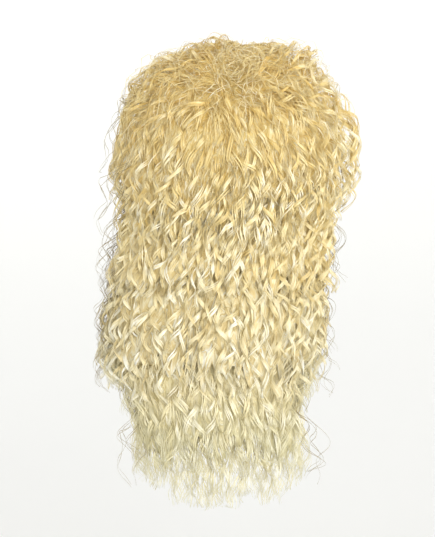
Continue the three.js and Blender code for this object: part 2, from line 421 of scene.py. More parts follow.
def along_head(vector: Array, here: Array) -> Array:
    """The part of a vector that lies along the head at a place, as a unit vector."""
    flat = vector - here * float(np.dot(vector, here))
    return flat / np.linalg.norm(flat)


@dataclass(frozen=True)
class HeadForm:
    """The surface that the hair follows: over the cap, then hanging below it."""

    half_width: float = 0.080
    half_depth: float = 0.099
    crown: float = 0.100
    wall: float = 0.002
    hang: tuple[HangRow, ...] = (
        HangRow(0.000, 0.0800, 0.099, 0.000),
        HangRow(0.020, 0.0784, 0.097, 0.000),
        HangRow(0.052, 0.0670, 0.090, 0.004),
        HangRow(0.102, 0.0720, 0.087, 0.012),
        HangRow(0.142, 0.0840, 0.087, 0.016),
        HangRow(0.202, 0.0900, 0.089, 0.022),
        HangRow(0.242, 0.0840, 0.091, 0.017),
        HangRow(0.292, 0.0840, 0.093, 0.013),
        HangRow(0.340, 0.0780, 0.095, 0.011),
    )
    edge: tuple[EdgeRow, ...] = (
        EdgeRow(0, 120), EdgeRow(40, 116), EdgeRow(70, 103), EdgeRow(90, 98),
        EdgeRow(108, 99), EdgeRow(126, 76), EdgeRow(150, 63), EdgeRow(180, 60),
    )

    @property
    def level(self) -> float:
        """Height of the widest level, below the origin at the top of the head."""
        return self.wall - self.crown

    def drape(self, turn: Array, fall: Array, lift: Array) -> Array:
        """Points this far outside the cap, or inside it where lift is negative.

        Args:
            turn: Turns in degrees.
            fall: Falls in degrees.
            lift: Distances from the cap's outer face.

        Returns:
            One row of x, y and z for each place.
        """
        turn, fall, lift = np.broadcast_arrays(turn, fall, lift)
        drop = self.crown * np.radians(np.maximum(fall - LEVEL, 0.0))
        width = read_table(self.hang, drop, "half_width")
        depth = read_table(self.hang, drop, "half_depth")
        lean = read_table(self.hang, drop, "lean")
        down = np.radians(np.minimum(fall, LEVEL))
        around = np.radians(turn)
        return np.stack([
            (width + lift) * np.sin(down) * np.sin(around) + lean,
            (depth + lift) * np.sin(down) * np.cos(around),
            (self.crown + lift) * np.cos(down) + self.level - drop,
        ], axis=-1)

    def outward(self, turn: Array, fall: Array) -> Array:
        """Unit vectors that point away from the head."""
        step = self.drape(turn, fall, self.crown) - self.drape(turn, fall, 0.0)
        return step / np.linalg.norm(step, axis=-1, keepdims=True)

    def edge_fall(self, turn: Array) -> Array:
        """How far down the cap reaches."""
        return read_table(self.edge, np.abs(turn_from(0.0, turn)), "fall")

    def fall_at(self, height: Array) -> Array:
        """The fall of hanging hair at a height below the widest level."""
        return LEVEL + np.degrees((self.level - height) / self.crown)

    def way(self, degrees: Array) -> Array:
        """The length of an arc down the head."""
        return self.crown * np.radians(degrees)


class Finish:
    """What the finishes share: a named material, built on first use."""

    name: str

    def look(self, build: NodeBuilder) -> dict[str, object]:
        """The principled shader's inputs, by name."""
        raise NotImplementedError

    def dressed(self) -> Material:
        """Builds the material where there is none of its name yet.

        Returns:
            The material.
        """
        material = bpy.data.materials.get(self.name)
        if material is None:
            material = bpy.data.materials.new(self.name)
            material.use_nodes = True
            build = NodeBuilder(material.node_tree)
            build.feed(build.tree.nodes["Principled BSDF"], self.look(build))
        return material


@dataclass(frozen=True)
class HairFinish(Finish):
    """Shiny synthetic fibre. Locks differ in tint, with a deeper root and pale streaks, partly painted
    highlight, along each.
    """

    slot: Slot
    deep: Colour
    middle: Colour
    light: Colour
    pale: Colour
    root: Colour = (0.92, 0.86, 0.7, 1.0)
    root_from: float = 0.15
    root_to: float = 0.5
    tip: Colour = WHITE
    tip_share: float = 0.35
    # Painted shade: stray fibres turn to this dark olive along their length.
    stray: Colour = colour(152, 136, 98)
    stray_tint: float = 0.06
    stray_shade_from: float = 0.3
    stray_shade_to: float = 0.6
    # Painted highlight, partly tint: how far the pale streaks along a strand move its tint, and their scale
    # across and along the map.
    painted_gleam: float = 0.30
    painted_gleam_across: float = 64.0
    painted_gleam_along: float = 16.0
    noise_low: float = 0.3
    noise_high: float = 0.7
    least_rough: float = 0.32
    most_rough: float = 0.48
    specular: float = 0.5
    coat: float = 0.15
    coat_roughness: float = 0.3
    coat_ior: float = 1.7
    layer: str = ""

    @property
    def name(self) -> str:
        """The material's name."""
        return f"{self.slot.value}{self.layer}_fibre"

    def look(self, build: NodeBuilder) -> dict[str, object]:
        """Colours the fibre by its tint and the place along it, both from the strand's own map.

        Args:
            build: The material's builder.

        Returns:
            The principled shader's inputs, by name.
        """
        strand = build.own_map(BAKE_MAP)
        tint, along = build.split(strand)
        # Painted highlight, partly tint: pale streaks drawn along each strand; the same noise makes them less
        # rough.
        noise = build.noise(build.vector("MULTIPLY", strand, (self.painted_gleam_across, self.painted_gleam_along, 0.0)))
        painted_gleams = build.ranged(noise, self.noise_low, self.noise_high, -self.painted_gleam, self.painted_gleam)
        tones = (self.deep, self.middle, self.light, self.pale)
        fibre = build.vector("MULTIPLY", build.ramp(build.math("ADD", tint, painted_gleams), tones),
                             self.toned(build, along))
        # Painted shade: fibres of the stray tint darken to the stray colour along their length.
        strays = build.math("LESS_THAN", tint, self.stray_tint)
        stray = build.math("MULTIPLY", strays, build.ranged(along, self.stray_shade_from, self.stray_shade_to))
        rough = build.ranged(noise, self.noise_low, self.noise_high, self.most_rough, self.least_rough)
        return {
            "Base Color": build.mix(stray, fibre, self.stray),
            "Roughness": rough,
            "Specular IOR Level": self.specular,
            "Coat Weight": self.coat,
            "Coat Roughness": self.coat_roughness,
            "Coat IOR": self.coat_ior,
        }

    def toned(self, build: NodeBuilder, along: object) -> NodeSocket:
        """How the colour shifts along the hair.

        Args:
            build: The material's builder.
            along: The place, from 0 at the root to 1 at the tip.

        Returns:
            The colour to multiply by.
        """
        clear = build.ranged(along, self.root_from, self.root_to)
        ends = build.ranged(along, 1.0 - self.tip_share, 1.0)
        return build.mix(ends, build.mix(clear, self.root, WHITE), self.tip)


@dataclass(frozen=True)
class PackedFinish(Finish):
    """Fibre packed close: fine streaks gathered into locks that wave from side to side, darkest between them
    in painted shade.
    """

    fibre: HairFinish
    # Darkens the deep tone into the painted shade between locks.
    shade: Colour = (0.70, 0.66, 0.57, 1.0)
    length: float = 0.25
    streak: float = 0.0020
    lock: float = 0.009
    inner_lock: float = 0.0045
    stretch: float = 0.030
    wave: float = 0.0055
    pitch: float = 0.034
    unlike: float = 8.0
    low: float = 0.32
    high: float = 0.68
    least_rough: float = 0.38
    most_rough: float = 0.6
    bump: float = 0.7
    bump_depth: float = 0.0018

    MAP_WIDTH = 0.7

    @property
    def name(self) -> str:
        """The material's name."""
        return f"{self.fibre.slot.value}{self.fibre.layer}_packed"

    def streaks(self, build: NodeBuilder, across: object, along: object, size: float) -> NodeSocket:
        """Noise drawn out along the hair.

        Args:
            build: The material's builder.
            across: Metres across the hair.
            along: Metres along it.
            size: The size of a streak across the hair.

        Returns:
            The noise's socket.
        """
        place = build.add("ShaderNodeCombineXYZ", {
            0: build.math("DIVIDE", across, size), 1: build.math("DIVIDE", along, self.stretch), 2: size,
        })
        return build.noise(place.outputs[0])

    def look(self, build: NodeBuilder) -> dict[str, object]:
        """Streaks the sheet by metres across and the share along, both from its own map.

        Args:
            build: The material's builder.

        Returns:
            The principled shader's inputs, by name.
        """
        side, share = build.split(build.own_map(BAKE_MAP))
        across = build.math("MULTIPLY", side, self.MAP_WIDTH)
        along = build.math("MULTIPLY", share, self.length)
        turns = build.math("MULTIPLY", along, math.tau / self.pitch)
        start = build.math("MULTIPLY", self.streaks(build, across, along, self.lock), self.unlike)
        swing = build.math("MULTIPLY", build.math("SINE", build.math("ADD", turns, start)), self.wave)
        moved = build.math("ADD", across, swing)
        fine = self.streaks(build, moved, along, self.streak)
        locks = self.streaks(build, moved, along, self.inner_lock)
        level = build.ranged(build.math("MULTIPLY", build.math("ADD", fine, locks), 0.5), self.low, self.high)
        fibre = self.fibre
        # Painted shade: the ramp's darkest stop stands for shade between the locks.
        shaded_deep = tuple(tone * shade for tone, shade in zip(fibre.deep, self.shade))
        ramp = build.ramp(level, (shaded_deep, fibre.deep, fibre.light, fibre.pale))
        return {
            "Base Color": build.vector("MULTIPLY", ramp, fibre.toned(build, share)),
            "Roughness": build.ranged(fine, first=self.most_rough, last=self.least_rough),
            "Normal": build.bump(level, self.bump, self.bump_depth),
        }


@dataclass(frozen=True)
class NetFinish(Finish):
    """Knitted net: threads crossing on the slant, with darker holes between them."""

    thread: Colour = colour(206, 182, 136)
    hole: Colour = colour(138, 112, 70)
    pitch: float = 0.0026
    thread_to: float = 0.25
    hole_from: float = 0.6
    least_rough: float = 0.75
    most_rough: float = 0.95
    bump: float = 0.5
    bump_depth: float = 0.0006

    name = "cap_net_knit"

    def look(self, build: NodeBuilder) -> dict[str, object]:
        """Knits the net on the piece's own map, which is in metres.

        Args:
            build: The material's builder.

        Returns:
            The principled shader's inputs, by name.
        """
        place = build.own_map(NET_MAP)
        rate = math.pi / self.pitch
        waves = []
        for slant in (rate, -rate):
            slanted = {0: place, 1: (rate, slant, 0.0)}
            across = build.add("ShaderNodeVectorMath", slanted, operation="DOT_PRODUCT")
            waves.append(build.math("ABSOLUTE", build.math("SINE", across.outputs["Value"])))
        threads = build.ranged(build.math("MULTIPLY", *waves), self.thread_to, self.hole_from, 1.0, 0.0)
        return {
            "Base Color": build.mix(threads, self.hole, self.thread),
            "Roughness": build.ranged(threads, first=self.most_rough, last=self.least_rough),
            "Normal": build.bump(threads, self.bump, self.bump_depth),
        }


@dataclass(frozen=True)
class ElasticFinish(Finish):
    """Covered elastic: a soft cloth whose colour deepens in patches."""

    tone: Colour = colour(176, 152, 110)
    deep: Colour = colour(140, 116, 78)
    grain: float = 900.0
    detail: float = 3.0
    least_rough: float = 0.7
    most_rough: float = 0.9
    bump: float = 0.35
    bump_depth: float = 0.0003

    name = "edge_elastic_cloth"

    def look(self, build: NodeBuilder) -> dict[str, object]:
        """Gives the cloth its grain on object coordinates.

        Args:
            build: The material's builder.

        Returns:
            The principled shader's inputs, by name.
        """
        place = build.add("ShaderNodeTexCoord").outputs["Object"]
        noise = build.noise(place, self.grain, self.detail)
        return {
            "Base Color": build.mix(noise, self.deep, self.tone),
            "Roughness": build.ranged(noise, first=self.most_rough, last=self.least_rough),
            "Normal": build.bump(noise, self.bump, self.bump_depth),
        }


@dataclass(frozen=True)
class PaperFinish(Finish):
    """The studio's pale matt paper."""

    tone: Colour = colour(245, 245, 243)
    roughness: float = 0.9

    name = "floor_paper"

    def look(self, build: NodeBuilder) -> dict[str, object]:
        """One even tone, as it is no part of the wig."""
        return {"Base Color": self.tone, "Roughness": self.roughness}


@dataclass(frozen=True)
class LockStyle:
    """One kind of lock: its curl, its strands, and how deep it lies, from rank 0 inside to 1 outside."""

    strands: int = 4
    half_width: float = 0.0006
    spread: float = 0.0013
    root_spread: float = 0.4
    tip_spread: float = 0.8
    curl: float = 0.0047
    pitch: float = 0.033
    frizz: float = 0.0011
    root_frizz: float = 0.0
    wander: float = 0.005
    step: float = 0.0032
    low_rank: float = 0.4
    high_rank: float = 1.0
    stand: float = 0.0
    low_tint: float = 0.15
    high_tint: float = 0.9
    aside: float = 0.0
    lean: float = 0.0


class Bunch(NamedTuple):
    """A number of locks of one kind."""

    style: LockStyle
    count: int


class Mat(NamedTuple):
    """Short locks matted round the whorl: how far off it they root and how long they are, in degrees."""

    style: LockStyle
    count: int
    near: float
    far: float
    length: float
    bend: float


class Bed(NamedTuple):
    """Where hair lies: its points' turn and fall, the lift of the layers under it, and its own depth."""

    turn: Array
    fall: Array
    base: Array
    room: Array


class StrandTree:
    """The geometry tree that turns guide lines into curled strands."""

    NAME = "curled_strands"
    SIDES = 3
    FLATNESS = 0.5
    LOOSE_ANGLE = 0.16
    LOOSE_CURL = 0.12
    LOOSE_TINT = 0.03
    FRIZZ_SCALE = 42.0
    FRIZZ_DETAIL = 1.0
    FRIZZ_MEAN = (0.5, 0.5, 0.5)
    FRIZZ_GAIN = 4.0
    FRIZZ_APART = 40.0

    @classmethod
    def tree(cls) -> NodeTree:
        """The tree, built on first use."""
        return bpy.data.node_groups.get(cls.NAME) or cls.build()

    @classmethod
    def build(cls) -> NodeTree:
        """Builds the tree: copies of each guide, wound into a flat curled lock, then given their thickness.

        Returns:
            The tree.
        """
        build, given = geometry_tree(cls.NAME, {"Seed": "NodeSocketInt", "Material": "NodeSocketMaterial"})
        seed = given.outputs["Seed"]
        lines = build.add("GeometryNodeMeshToCurve", {"Mesh": given.outputs["Geometry"]}).outputs[0]
        strands = build.attribute("strands")
        copied = {"Geometry": lines, "Amount": strands}
        copies = build.add("GeometryNodeDuplicateElements", copied, domain="SPLINE")
        gaps = build.math("SUBTRACT", strands, 1.0)
        doubled = build.math("MULTIPLY", copies.outputs[1], 2.0)
        rank = build.math("DIVIDE", build.math("SUBTRACT", doubled, gaps), build.math("MAXIMUM", gaps, 1.0))
        curves = build.store(copies.outputs[0], "rank", rank, "CURVE")
        index = build.add("GeometryNodeInputIndex").outputs[0]
        curves = build.store(curves, "strand", index, "CURVE", "INT")
        curves, offset = cls.wind(build, curves, seed)
        loose_tint = build.random(-cls.LOOSE_TINT, cls.LOOSE_TINT, seed, Draw.TINT)
        shade = build.math("ADD", build.attribute("tint"), loose_tint)
        curves = build.store(curves, "shade", shade, "CURVE")
        moved = build.add("GeometryNodeSetPosition", {"Geometry": curves, "Offset": offset}).outputs[0]
        facing = build.attribute("facing", "FLOAT_VECTOR")
        turned = {"Curve": moved, "Normal": facing}
        faced = build.add("GeometryNodeSetCurveNormal", turned, mode="FREE").outputs[0]

        section = {"Resolution": cls.SIDES, "Radius": 1.0}
        ring = build.add("GeometryNodeCurvePrimitiveCircle", section).outputs[0]
        thin = {"Geometry": ring, "Scale": (-cls.FLATNESS, -1.0, 1.0)}
        profile = build.store(build.add("GeometryNodeTransform", thin).outputs[0], "around", index)
        tubes = build.add("GeometryNodeCurveToMesh", {
            "Curve": faced, "Profile Curve": profile, "Scale": build.attribute("width"), "Fill Caps": True,
        }).outputs[0]
        smooth = build.add("GeometryNodeSetShadeSmooth", {"Geometry": tubes}).outputs[0]
        close_tree(build, smooth, given.outputs["Material"])
        return build.tree

    @classmethod
    def wind(cls, build: NodeBuilder, curves: object, seed: object) -> tuple[object, object]:
        """Works out where each point of a strand goes.

        Args:
            build: The tree's builder.
            curves: The strands, still on their guides.
            seed: The weft's seed.

        Returns:
            The strands with the way they face stored on them, and the offset of each point.
        """
        ahead = build.add("GeometryNodeInputTangent").outputs[0]
        outward = build.attribute("outward", "FLOAT_VECTOR")
        aside = build.vector("NORMALIZE", build.vector("CROSS_PRODUCT", ahead, outward))
        loose_angle = build.random(-cls.LOOSE_ANGLE, cls.LOOSE_ANGLE, seed, Draw.ANGLE)
        angle = build.math("ADD", build.attribute("angle"), loose_angle)
        cosine = build.math("COSINE", angle)
        sine = build.math("SINE", angle)
        sideways = build.scaled(aside, build.attribute("sideways"))
        away = build.vector("ADD", build.scaled(outward, cosine), build.scaled(sideways, sine))
        onward = build.vector("SUBTRACT", build.scaled(sideways, cosine), build.scaled(outward, sine))
        heading = build.vector("ADD", ahead, build.scaled(onward, build.attribute("slope")))
        flat = build.vector("NORMALIZE", build.vector("CROSS_PRODUCT", heading, away))
        loose = build.random(1.0 - cls.LOOSE_CURL, 1.0 + cls.LOOSE_CURL, seed, Draw.CURL)
        reach = build.math("MULTIPLY", build.attribute("curl"), loose)
        beside = build.math("MULTIPLY", build.attribute("rank"), build.attribute("spread"))
        winding = build.vector("ADD", build.scaled(away, reach), build.scaled(flat, beside))
        noise = build.add("ShaderNodeTexNoise", {
            "Vector": build.add("GeometryNodeInputPosition").outputs[0],
            "W": build.random(0.0, cls.FRIZZ_APART, seed, Draw.FRIZZ),
            "Scale": cls.FRIZZ_SCALE,
            "Detail": cls.FRIZZ_DETAIL,
        }, noise_dimensions="4D").outputs["Color"]
        shaken = build.vector("SUBTRACT", noise, cls.FRIZZ_MEAN)
        frizz = build.math("MULTIPLY", build.attribute("frizz"), cls.FRIZZ_GAIN)
        offset = build.vector("ADD", winding, build.scaled(shaken, frizz))
        return build.store(curves, "facing", away, "POINT", "FLOAT_VECTOR"), offset


class Guides:
    """Guide lines for the locks of one weft, with the values that their strands read at each point."""

    FLOATS = ("along", "tint", "angle", "slope", "curl", "sideways", "spread", "width", "frizz", "strands")

    def __init__(self) -> None:
        """Starts with no lines."""
        self.points: list[Array] = []
        self.outward: list[Array] = []
        self.values: dict[str, list[Array]] = {name: [] for name in self.FLOATS}

    def add(self, points: Array, outward: Array, **values: Array) -> None:
        """Adds a line.

        Args:
            points: Its points, root first.
            outward: Unit vectors away from the head, one a point.
            **values: The named values, one a point or one for the line.
        """
        self.points.append(points)
        self.outward.append(outward)
        for name in self.FLOATS:
            self.values[name].append(np.broadcast_to(values[name], len(points)))

    def to_object(self, name: str) -> Object:
        """Makes a mesh of edges that carries the values as attributes.

        Args:
            name: The object's name.

        Returns:
            The object.
        """
        counts = [len(line) for line in self.points]
        starts = np.cumsum([0, *counts[:-1]])
        edges = np.concatenate([
            np.stack([np.arange(n - 1), np.arange(1, n)], axis=1) + start for n, start in zip(counts, starts)
        ])
        mesh = bpy.data.meshes.new(name)
        mesh.vertices.add(sum(counts))
        mesh.edges.add(len(edges))
        mesh.vertices.foreach_set("co", np.concatenate(self.points).ravel())
        mesh.edges.foreach_set("vertices", edges.ravel().astype(np.int32))
        outward = mesh.attributes.new("outward", "FLOAT_VECTOR", "POINT")
        outward.data.foreach_set("vector", np.concatenate(self.outward).ravel())
        for key, parts in self.values.items():
            attribute = mesh.attributes.new(key, "FLOAT", "POINT")
            attribute.data.foreach_set("value", np.concatenate(parts).astype(np.float32))
        mesh.update()
        return mesh_object(name, mesh)


def sharpen(mesh: Mesh, around: Array) -> None:
    """Keeps the edges that run along a strand crisp, so that its flat side shines as one.

    Args:
        mesh: The strands.
        around: Each point's place in the strand's section.
    """
    ends = np.empty(len(mesh.edges) * 2, np.int32)
    mesh.edges.foreach_get("vertices", ends)
    ends = ends.reshape(-1, 2)
    lengthwise = around[ends[:, 0]] == around[ends[:, 1]]
    edges = mesh.attributes.get("sharp_edge") or mesh.attributes.new("sharp_edge", "BOOLEAN", "EDGE")
    edges.data.foreach_set("value", lengthwise)


def map_strands(mesh: Mesh, columns: int = 64, fill: float = 0.8) -> None:
    """Gives strands a map of tint across and place along, so that like strands share it.

    Args:
        mesh: The strands, with their shade, along and around attributes, which are spent.
        columns: How many tints are told apart.
        fill: The share of a column that a strand's width takes.
    """
    read = {name: np.empty(len(mesh.vertices), np.float32) for name in ("shade", "along", "around")}
    for name, values in read.items():
        mesh.attributes[name].data.foreach_get("value", values)
    column = np.clip(np.floor(read["shade"] * columns), 0, columns - 1)
    across = (column + 0.5 + fill * (read["around"] / (StrandTree.SIDES - 1) - 0.5)) / columns
    write_map(mesh, BAKE_MAP, np.stack([across, read["along"]], axis=1)[corner_points(mesh)])
    sharpen(mesh, read["around"])
    for name in (*Guides.FLOATS, "outward", "facing", "rank", "strand", "shade", "around"):
        spent = mesh.attributes.get(name)
        if spent is not None:
            mesh.attributes.remove(spent)


@dataclass
class HangingWeft:
    """A weft sewn along a track, whose locks hang down over the layers under it."""

    node: str
    zone: Zone
    finish: HairFinish
    bunches: tuple[Bunch, ...]
    seed: int
    start: float
    end: float
    root: float
    spread: float
    tip_middle: float
    tip_end: float
    hidden: float
    depth: float = 0.0095
    tip_scatter: float = 0.034
    rise_from: float = 0.0
    rise_to: float = 1.2
    packing_short: float = 0.0

    ABOVE = 12.0
    BELOW = 20.0
    PAST_END = 7.0
    FADE = 12.0

    @property
    def middle(self) -> float:
        """The turn at the weft's middle."""
        return (self.start + self.end) / 2.0

    @property
    def half(self) -> float:
        """Half the turn that the weft spans."""
        return (self.end - self.start) / 2.0

    def tip_height(self, side: Array) -> Array:
        """The height of the tips at a place along the track, from -1 at one end to 1 at the other."""
        return lerp(self.tip_middle, self.tip_end, smoothstep(np.abs(side), self.rise_from, self.rise_to))

    def turn_at(self, side: Array, along: Array) -> Array:
        """The turn of a lock from a place along the track, at a share of its length."""
        return self.middle + side * self.half * lerp(1.0, self.spread, along)

    def cover(self, turn: Array, fall: Array) -> Array:
        """The share of its full depth that the weft has.

        Args:
            turn: The places' turn.
            fall: Their fall.

        Returns:
            One share a place.
        """
        reach = self.spread * self.half + self.PAST_END
        beside = 1.0 - smoothstep(np.abs(turn_from(self.middle, turn)), reach, reach + self.FADE)
        return beside * smoothstep(fall, self.root - self.ABOVE, self.root + self.BELOW)


@dataclass
class HairStack:
    """All the wefts in the order they are sewn, inner layers first, and how they lie on each other."""

    form: HeadForm
    wefts: list[HangingWeft]
    seat: float = 0.0005
    gap: float = 0.0008

    def lift(self, layers: list[HangingWeft], turn: Array, fall: Array) -> Array:
        """How far layers underneath lift the hair off the cap at a place."""
        lifts = ((weft.depth + self.gap) * weft.cover(turn, fall) for weft in layers)
        return self.seat + sum(lifts, 0.0 * turn)

    def under(self, weft: HangingWeft) -> list[HangingWeft]:
        """The layers that lie under a weft."""
        return [other for other in self.wefts[: self.wefts.index(weft)] if other.zone is weft.zone]


@dataclass
class LockMaker:
    """Turns a lock's path over the head into a guide line. A pair below is the span of a random draw."""

    form: HeadForm
    rng: np.random.Generator

    SIZES = (0.65, 1.4)
    PITCHES = (0.95, 1.25)
    SPREADS = (0.8, 1.25)
    WIDTHS = (0.85, 1.2)
    STANDS = (0.2, 1.0)
    SIDEWAYS = (0.3, 0.95)
    DRIFT_LENGTHS = (0.06, 0.14)
    DRIFT_GROWS = 0.06
    CURL_GROWS = 0.028
    UNEVEN_CURL = 0.3
    UNEVEN_SPIN = 0.2
    UNEVEN_LENGTH = 0.085
    UNEVEN_LENGTHS = (0.8, 1.4)
    SPREAD_GROWS = 0.3
    SPREAD_ROOM = 0.6
    STAND_FROM = 0.1
    TIP_SHARE = 0.16
    TIP_WIDTH = 0.5
    HIDDEN_STEP = 5.0
    LEAST_POINTS = 6
    CLEAR = 0.0006
    PROUD = 0.006

    def wave(self, distance: Array, length: float) -> Array:
        """A slow wave along a lock, from -1 to 1, that starts anywhere."""
        return np.sin(distance * math.tau / length + self.rng.uniform(0.0, math.tau))

    def drift(self, style: LockStyle, distance: Array) -> Array:
        """How far a lock strays to the side, in degrees of turn. It doesn't at its root.

        Args:
            style: The lock's kind.
            distance: The distance of each point from the root.

        Returns:
            One turn a point.
        """
        waves = sum(self.wave(distance, length) for length in self.rng.uniform(*self.DRIFT_LENGTHS, 2))
        grown_in = smoothstep(distance, 0.0, self.DRIFT_GROWS)
        return np.degrees(waves * 0.5 * style.wander * grown_in / self.form.crown)

    def stations(self, style: LockStyle, length: float, hidden: float) -> Array:
        """Distances from the root of a lock's points, further apart where other hair hides it.

        Args:
            style: The lock's kind.
            length: The lock's length.
            hidden: The length at its root that other hair hides.

        Returns:
            The distances.
        """
        first = np.linspace(0.0, hidden, int(hidden / (self.HIDDEN_STEP * style.step)), endpoint=False)
        shown = max(int((length - hidden) / style.step), self.LEAST_POINTS)
        return np.concatenate([first, np.linspace(hidden, length, shown)])

    def add(self, guides: Guides, style: LockStyle, bed: Bed, distance: Array, rank: float,
            curl_from: float) -> None:
        """Adds a lock to a weft's guides.

        Args:
            guides: The weft's guides.
            style: The lock's kind.
            bed: Where its path lies.
            distance: The distance of each point from the root.
            rank: The lock's own depth, 0 inside to 1 outside.
            curl_from: The distance from the root where it starts to curl.
        """
        rng = self.rng
        along = distance / distance[-1]
        size = rng.uniform(*self.SIZES)
        grown_in = smoothstep(distance, curl_from, curl_from + self.CURL_GROWS)
        swell = 1.0 + self.UNEVEN_CURL * self.wave(distance, self.UNEVEN_LENGTH)
        curl = style.curl * size * grown_in * swell
        pitch = style.pitch * math.sqrt(size) * rng.uniform(*self.PITCHES)
        spin = rng.choice((-1.0, 1.0)) * math.tau / pitch
        uneven = self.wave(distance, self.UNEVEN_LENGTH * rng.uniform(*self.UNEVEN_LENGTHS))
        spin = spin * (1.0 + self.UNEVEN_SPIN * uneven)
        angle = rng.uniform(0.0, math.tau) + np.cumsum(spin * np.diff(distance, prepend=0.0))
        spread = style.spread * rng.uniform(*self.SPREADS)
        spread = spread * lerp(style.root_spread, 1.0, smoothstep(along, 0.0, self.SPREAD_GROWS))
        tip = smoothstep(along, 1.0 - self.TIP_SHARE, 1.0)
        spread = spread * lerp(1.0, style.tip_spread, tip)
        width = style.half_width * rng.uniform(*self.WIDTHS) * lerp(1.0, self.TIP_WIDTH, tip)
        clear = curl + self.SPREAD_ROOM * spread + self.CLEAR
        stand = style.stand * rng.uniform(*self.STANDS) * smoothstep(along, self.STAND_FROM, 1.0)
        lift = bed.base + bed.room / 2.0 + (rank - 0.5) * np.maximum(bed.room - 2.0 * clear, 0.0)
        points = self.form.drape(bed.turn, bed.fall, np.maximum(lift, clear) + stand)
        low, high = (np.array(corner) for corner in CAD_BOX)
        inset = (curl + spread - self.PROUD)[:, None]
        guides.add(
            np.clip(points, low + inset, high - inset), self.form.outward(bed.turn, bed.fall), along=along,
            tint=rng.uniform(style.low_tint, style.high_tint), angle=angle, slope=curl * spin, curl=curl,
            sideways=rng.uniform(*self.SIDEWAYS), spread=spread, width=width,
            frizz=style.frizz * lerp(style.root_frizz, 1.0, along), strands=float(style.strands),
        )


def close_shell(mesh: Mesh) -> None:
    """Fills a mesh's open rings and turns its faces outwards.

    Args:
        mesh: The mesh.
    """
    shell = bmesh.new()
    shell.from_mesh(mesh)
    open_edges = [edge for edge in shell.edges if edge.is_boundary]
    bmesh.ops.holes_fill(shell, edges=open_edges, sides=0)
    bmesh.ops.recalc_face_normals(shell, faces=shell.faces)
    shell.to_mesh(mesh)
    shell.free()


def quad_mesh(name: str, points: Array, faces: Array) -> Mesh:
    """A smooth mesh of quads.

    Args:
        name: The mesh's name.
        points: Its points, in any grid.
        faces: The four points of each face, in any grid.

    Returns:
        The mesh.
    """
    mesh = bpy.data.meshes.new(name)
    mesh.from_pydata(points.reshape(-1, 3).tolist(), [], faces.reshape(-1, 4).tolist())
    mesh.polygons.foreach_set("use_smooth", np.ones(len(mesh.polygons), bool))
    return mesh


def sheet_mesh(name: str, outer: Array, inner: Array, wrap: bool) -> Mesh:
    """A thin closed sheet between two grids of points.

    Args:
        name: The mesh's name.
        outer: The outer points by row, then by column.
        inner: The inner points, in the same order.
        wrap: Whether the last column joins the first.

    Returns:
        The mesh, whose points are the outer grid's and then the inner grid's.
    """
    rows, columns = outer.shape[:2]
    place = np.arange(rows * columns).reshape(rows, columns)
    under = place + place.size
    near = place if wrap else place[:, :-1]
    far = np.roll(place, -1, axis=1) if wrap else place[:, 1:]
    quads = [
        np.stack([near[:-1], far[:-1], far[1:], near[1:]], axis=-1),
        np.stack([near[1:], far[1:], far[:-1], near[:-1]], axis=-1) + place.size,
    ]
    for row in (0, -1):
        quads.append(np.stack([near[row], far[row], far[row] + place.size, near[row] + place.size], axis=-1))
    if not wrap:
        for column in (0, -1):
            edge, back = place[:, column], under[:, column]
            quads.append(np.stack([edge[:-1], edge[1:], back[1:], back[:-1]], axis=-1))
    faces = np.concatenate([quad.reshape(-1, 4) for quad in quads])
    mesh = quad_mesh(name, np.concatenate([outer, inner]), faces)
    close_shell(mesh)
    return mesh


def ring_mesh(name: str, rings: Array, close_rows: bool) -> Mesh:
    """A mesh of closed rings of points, each joined to the next.

    Args:
        name: The mesh's name.
        rings: Points by ring, then by column.
        close_rows: Whether the last ring joins the first.

    Returns:
        The mesh, with quads between the rings.
    """
    rows, columns = rings.shape[:2]
    row = np.arange(rows if close_rows else rows - 1)[:, None]
    column = np.arange(columns)[None, :]
    after_row = (row + 1) % rows
    after_column = (column + 1) % columns
    faces = np.stack([
        row * columns + column, row * columns + after_column,
        after_row * columns + after_column, after_row * columns + column,
    ], axis=-1)
    return quad_mesh(name, rings, faces)


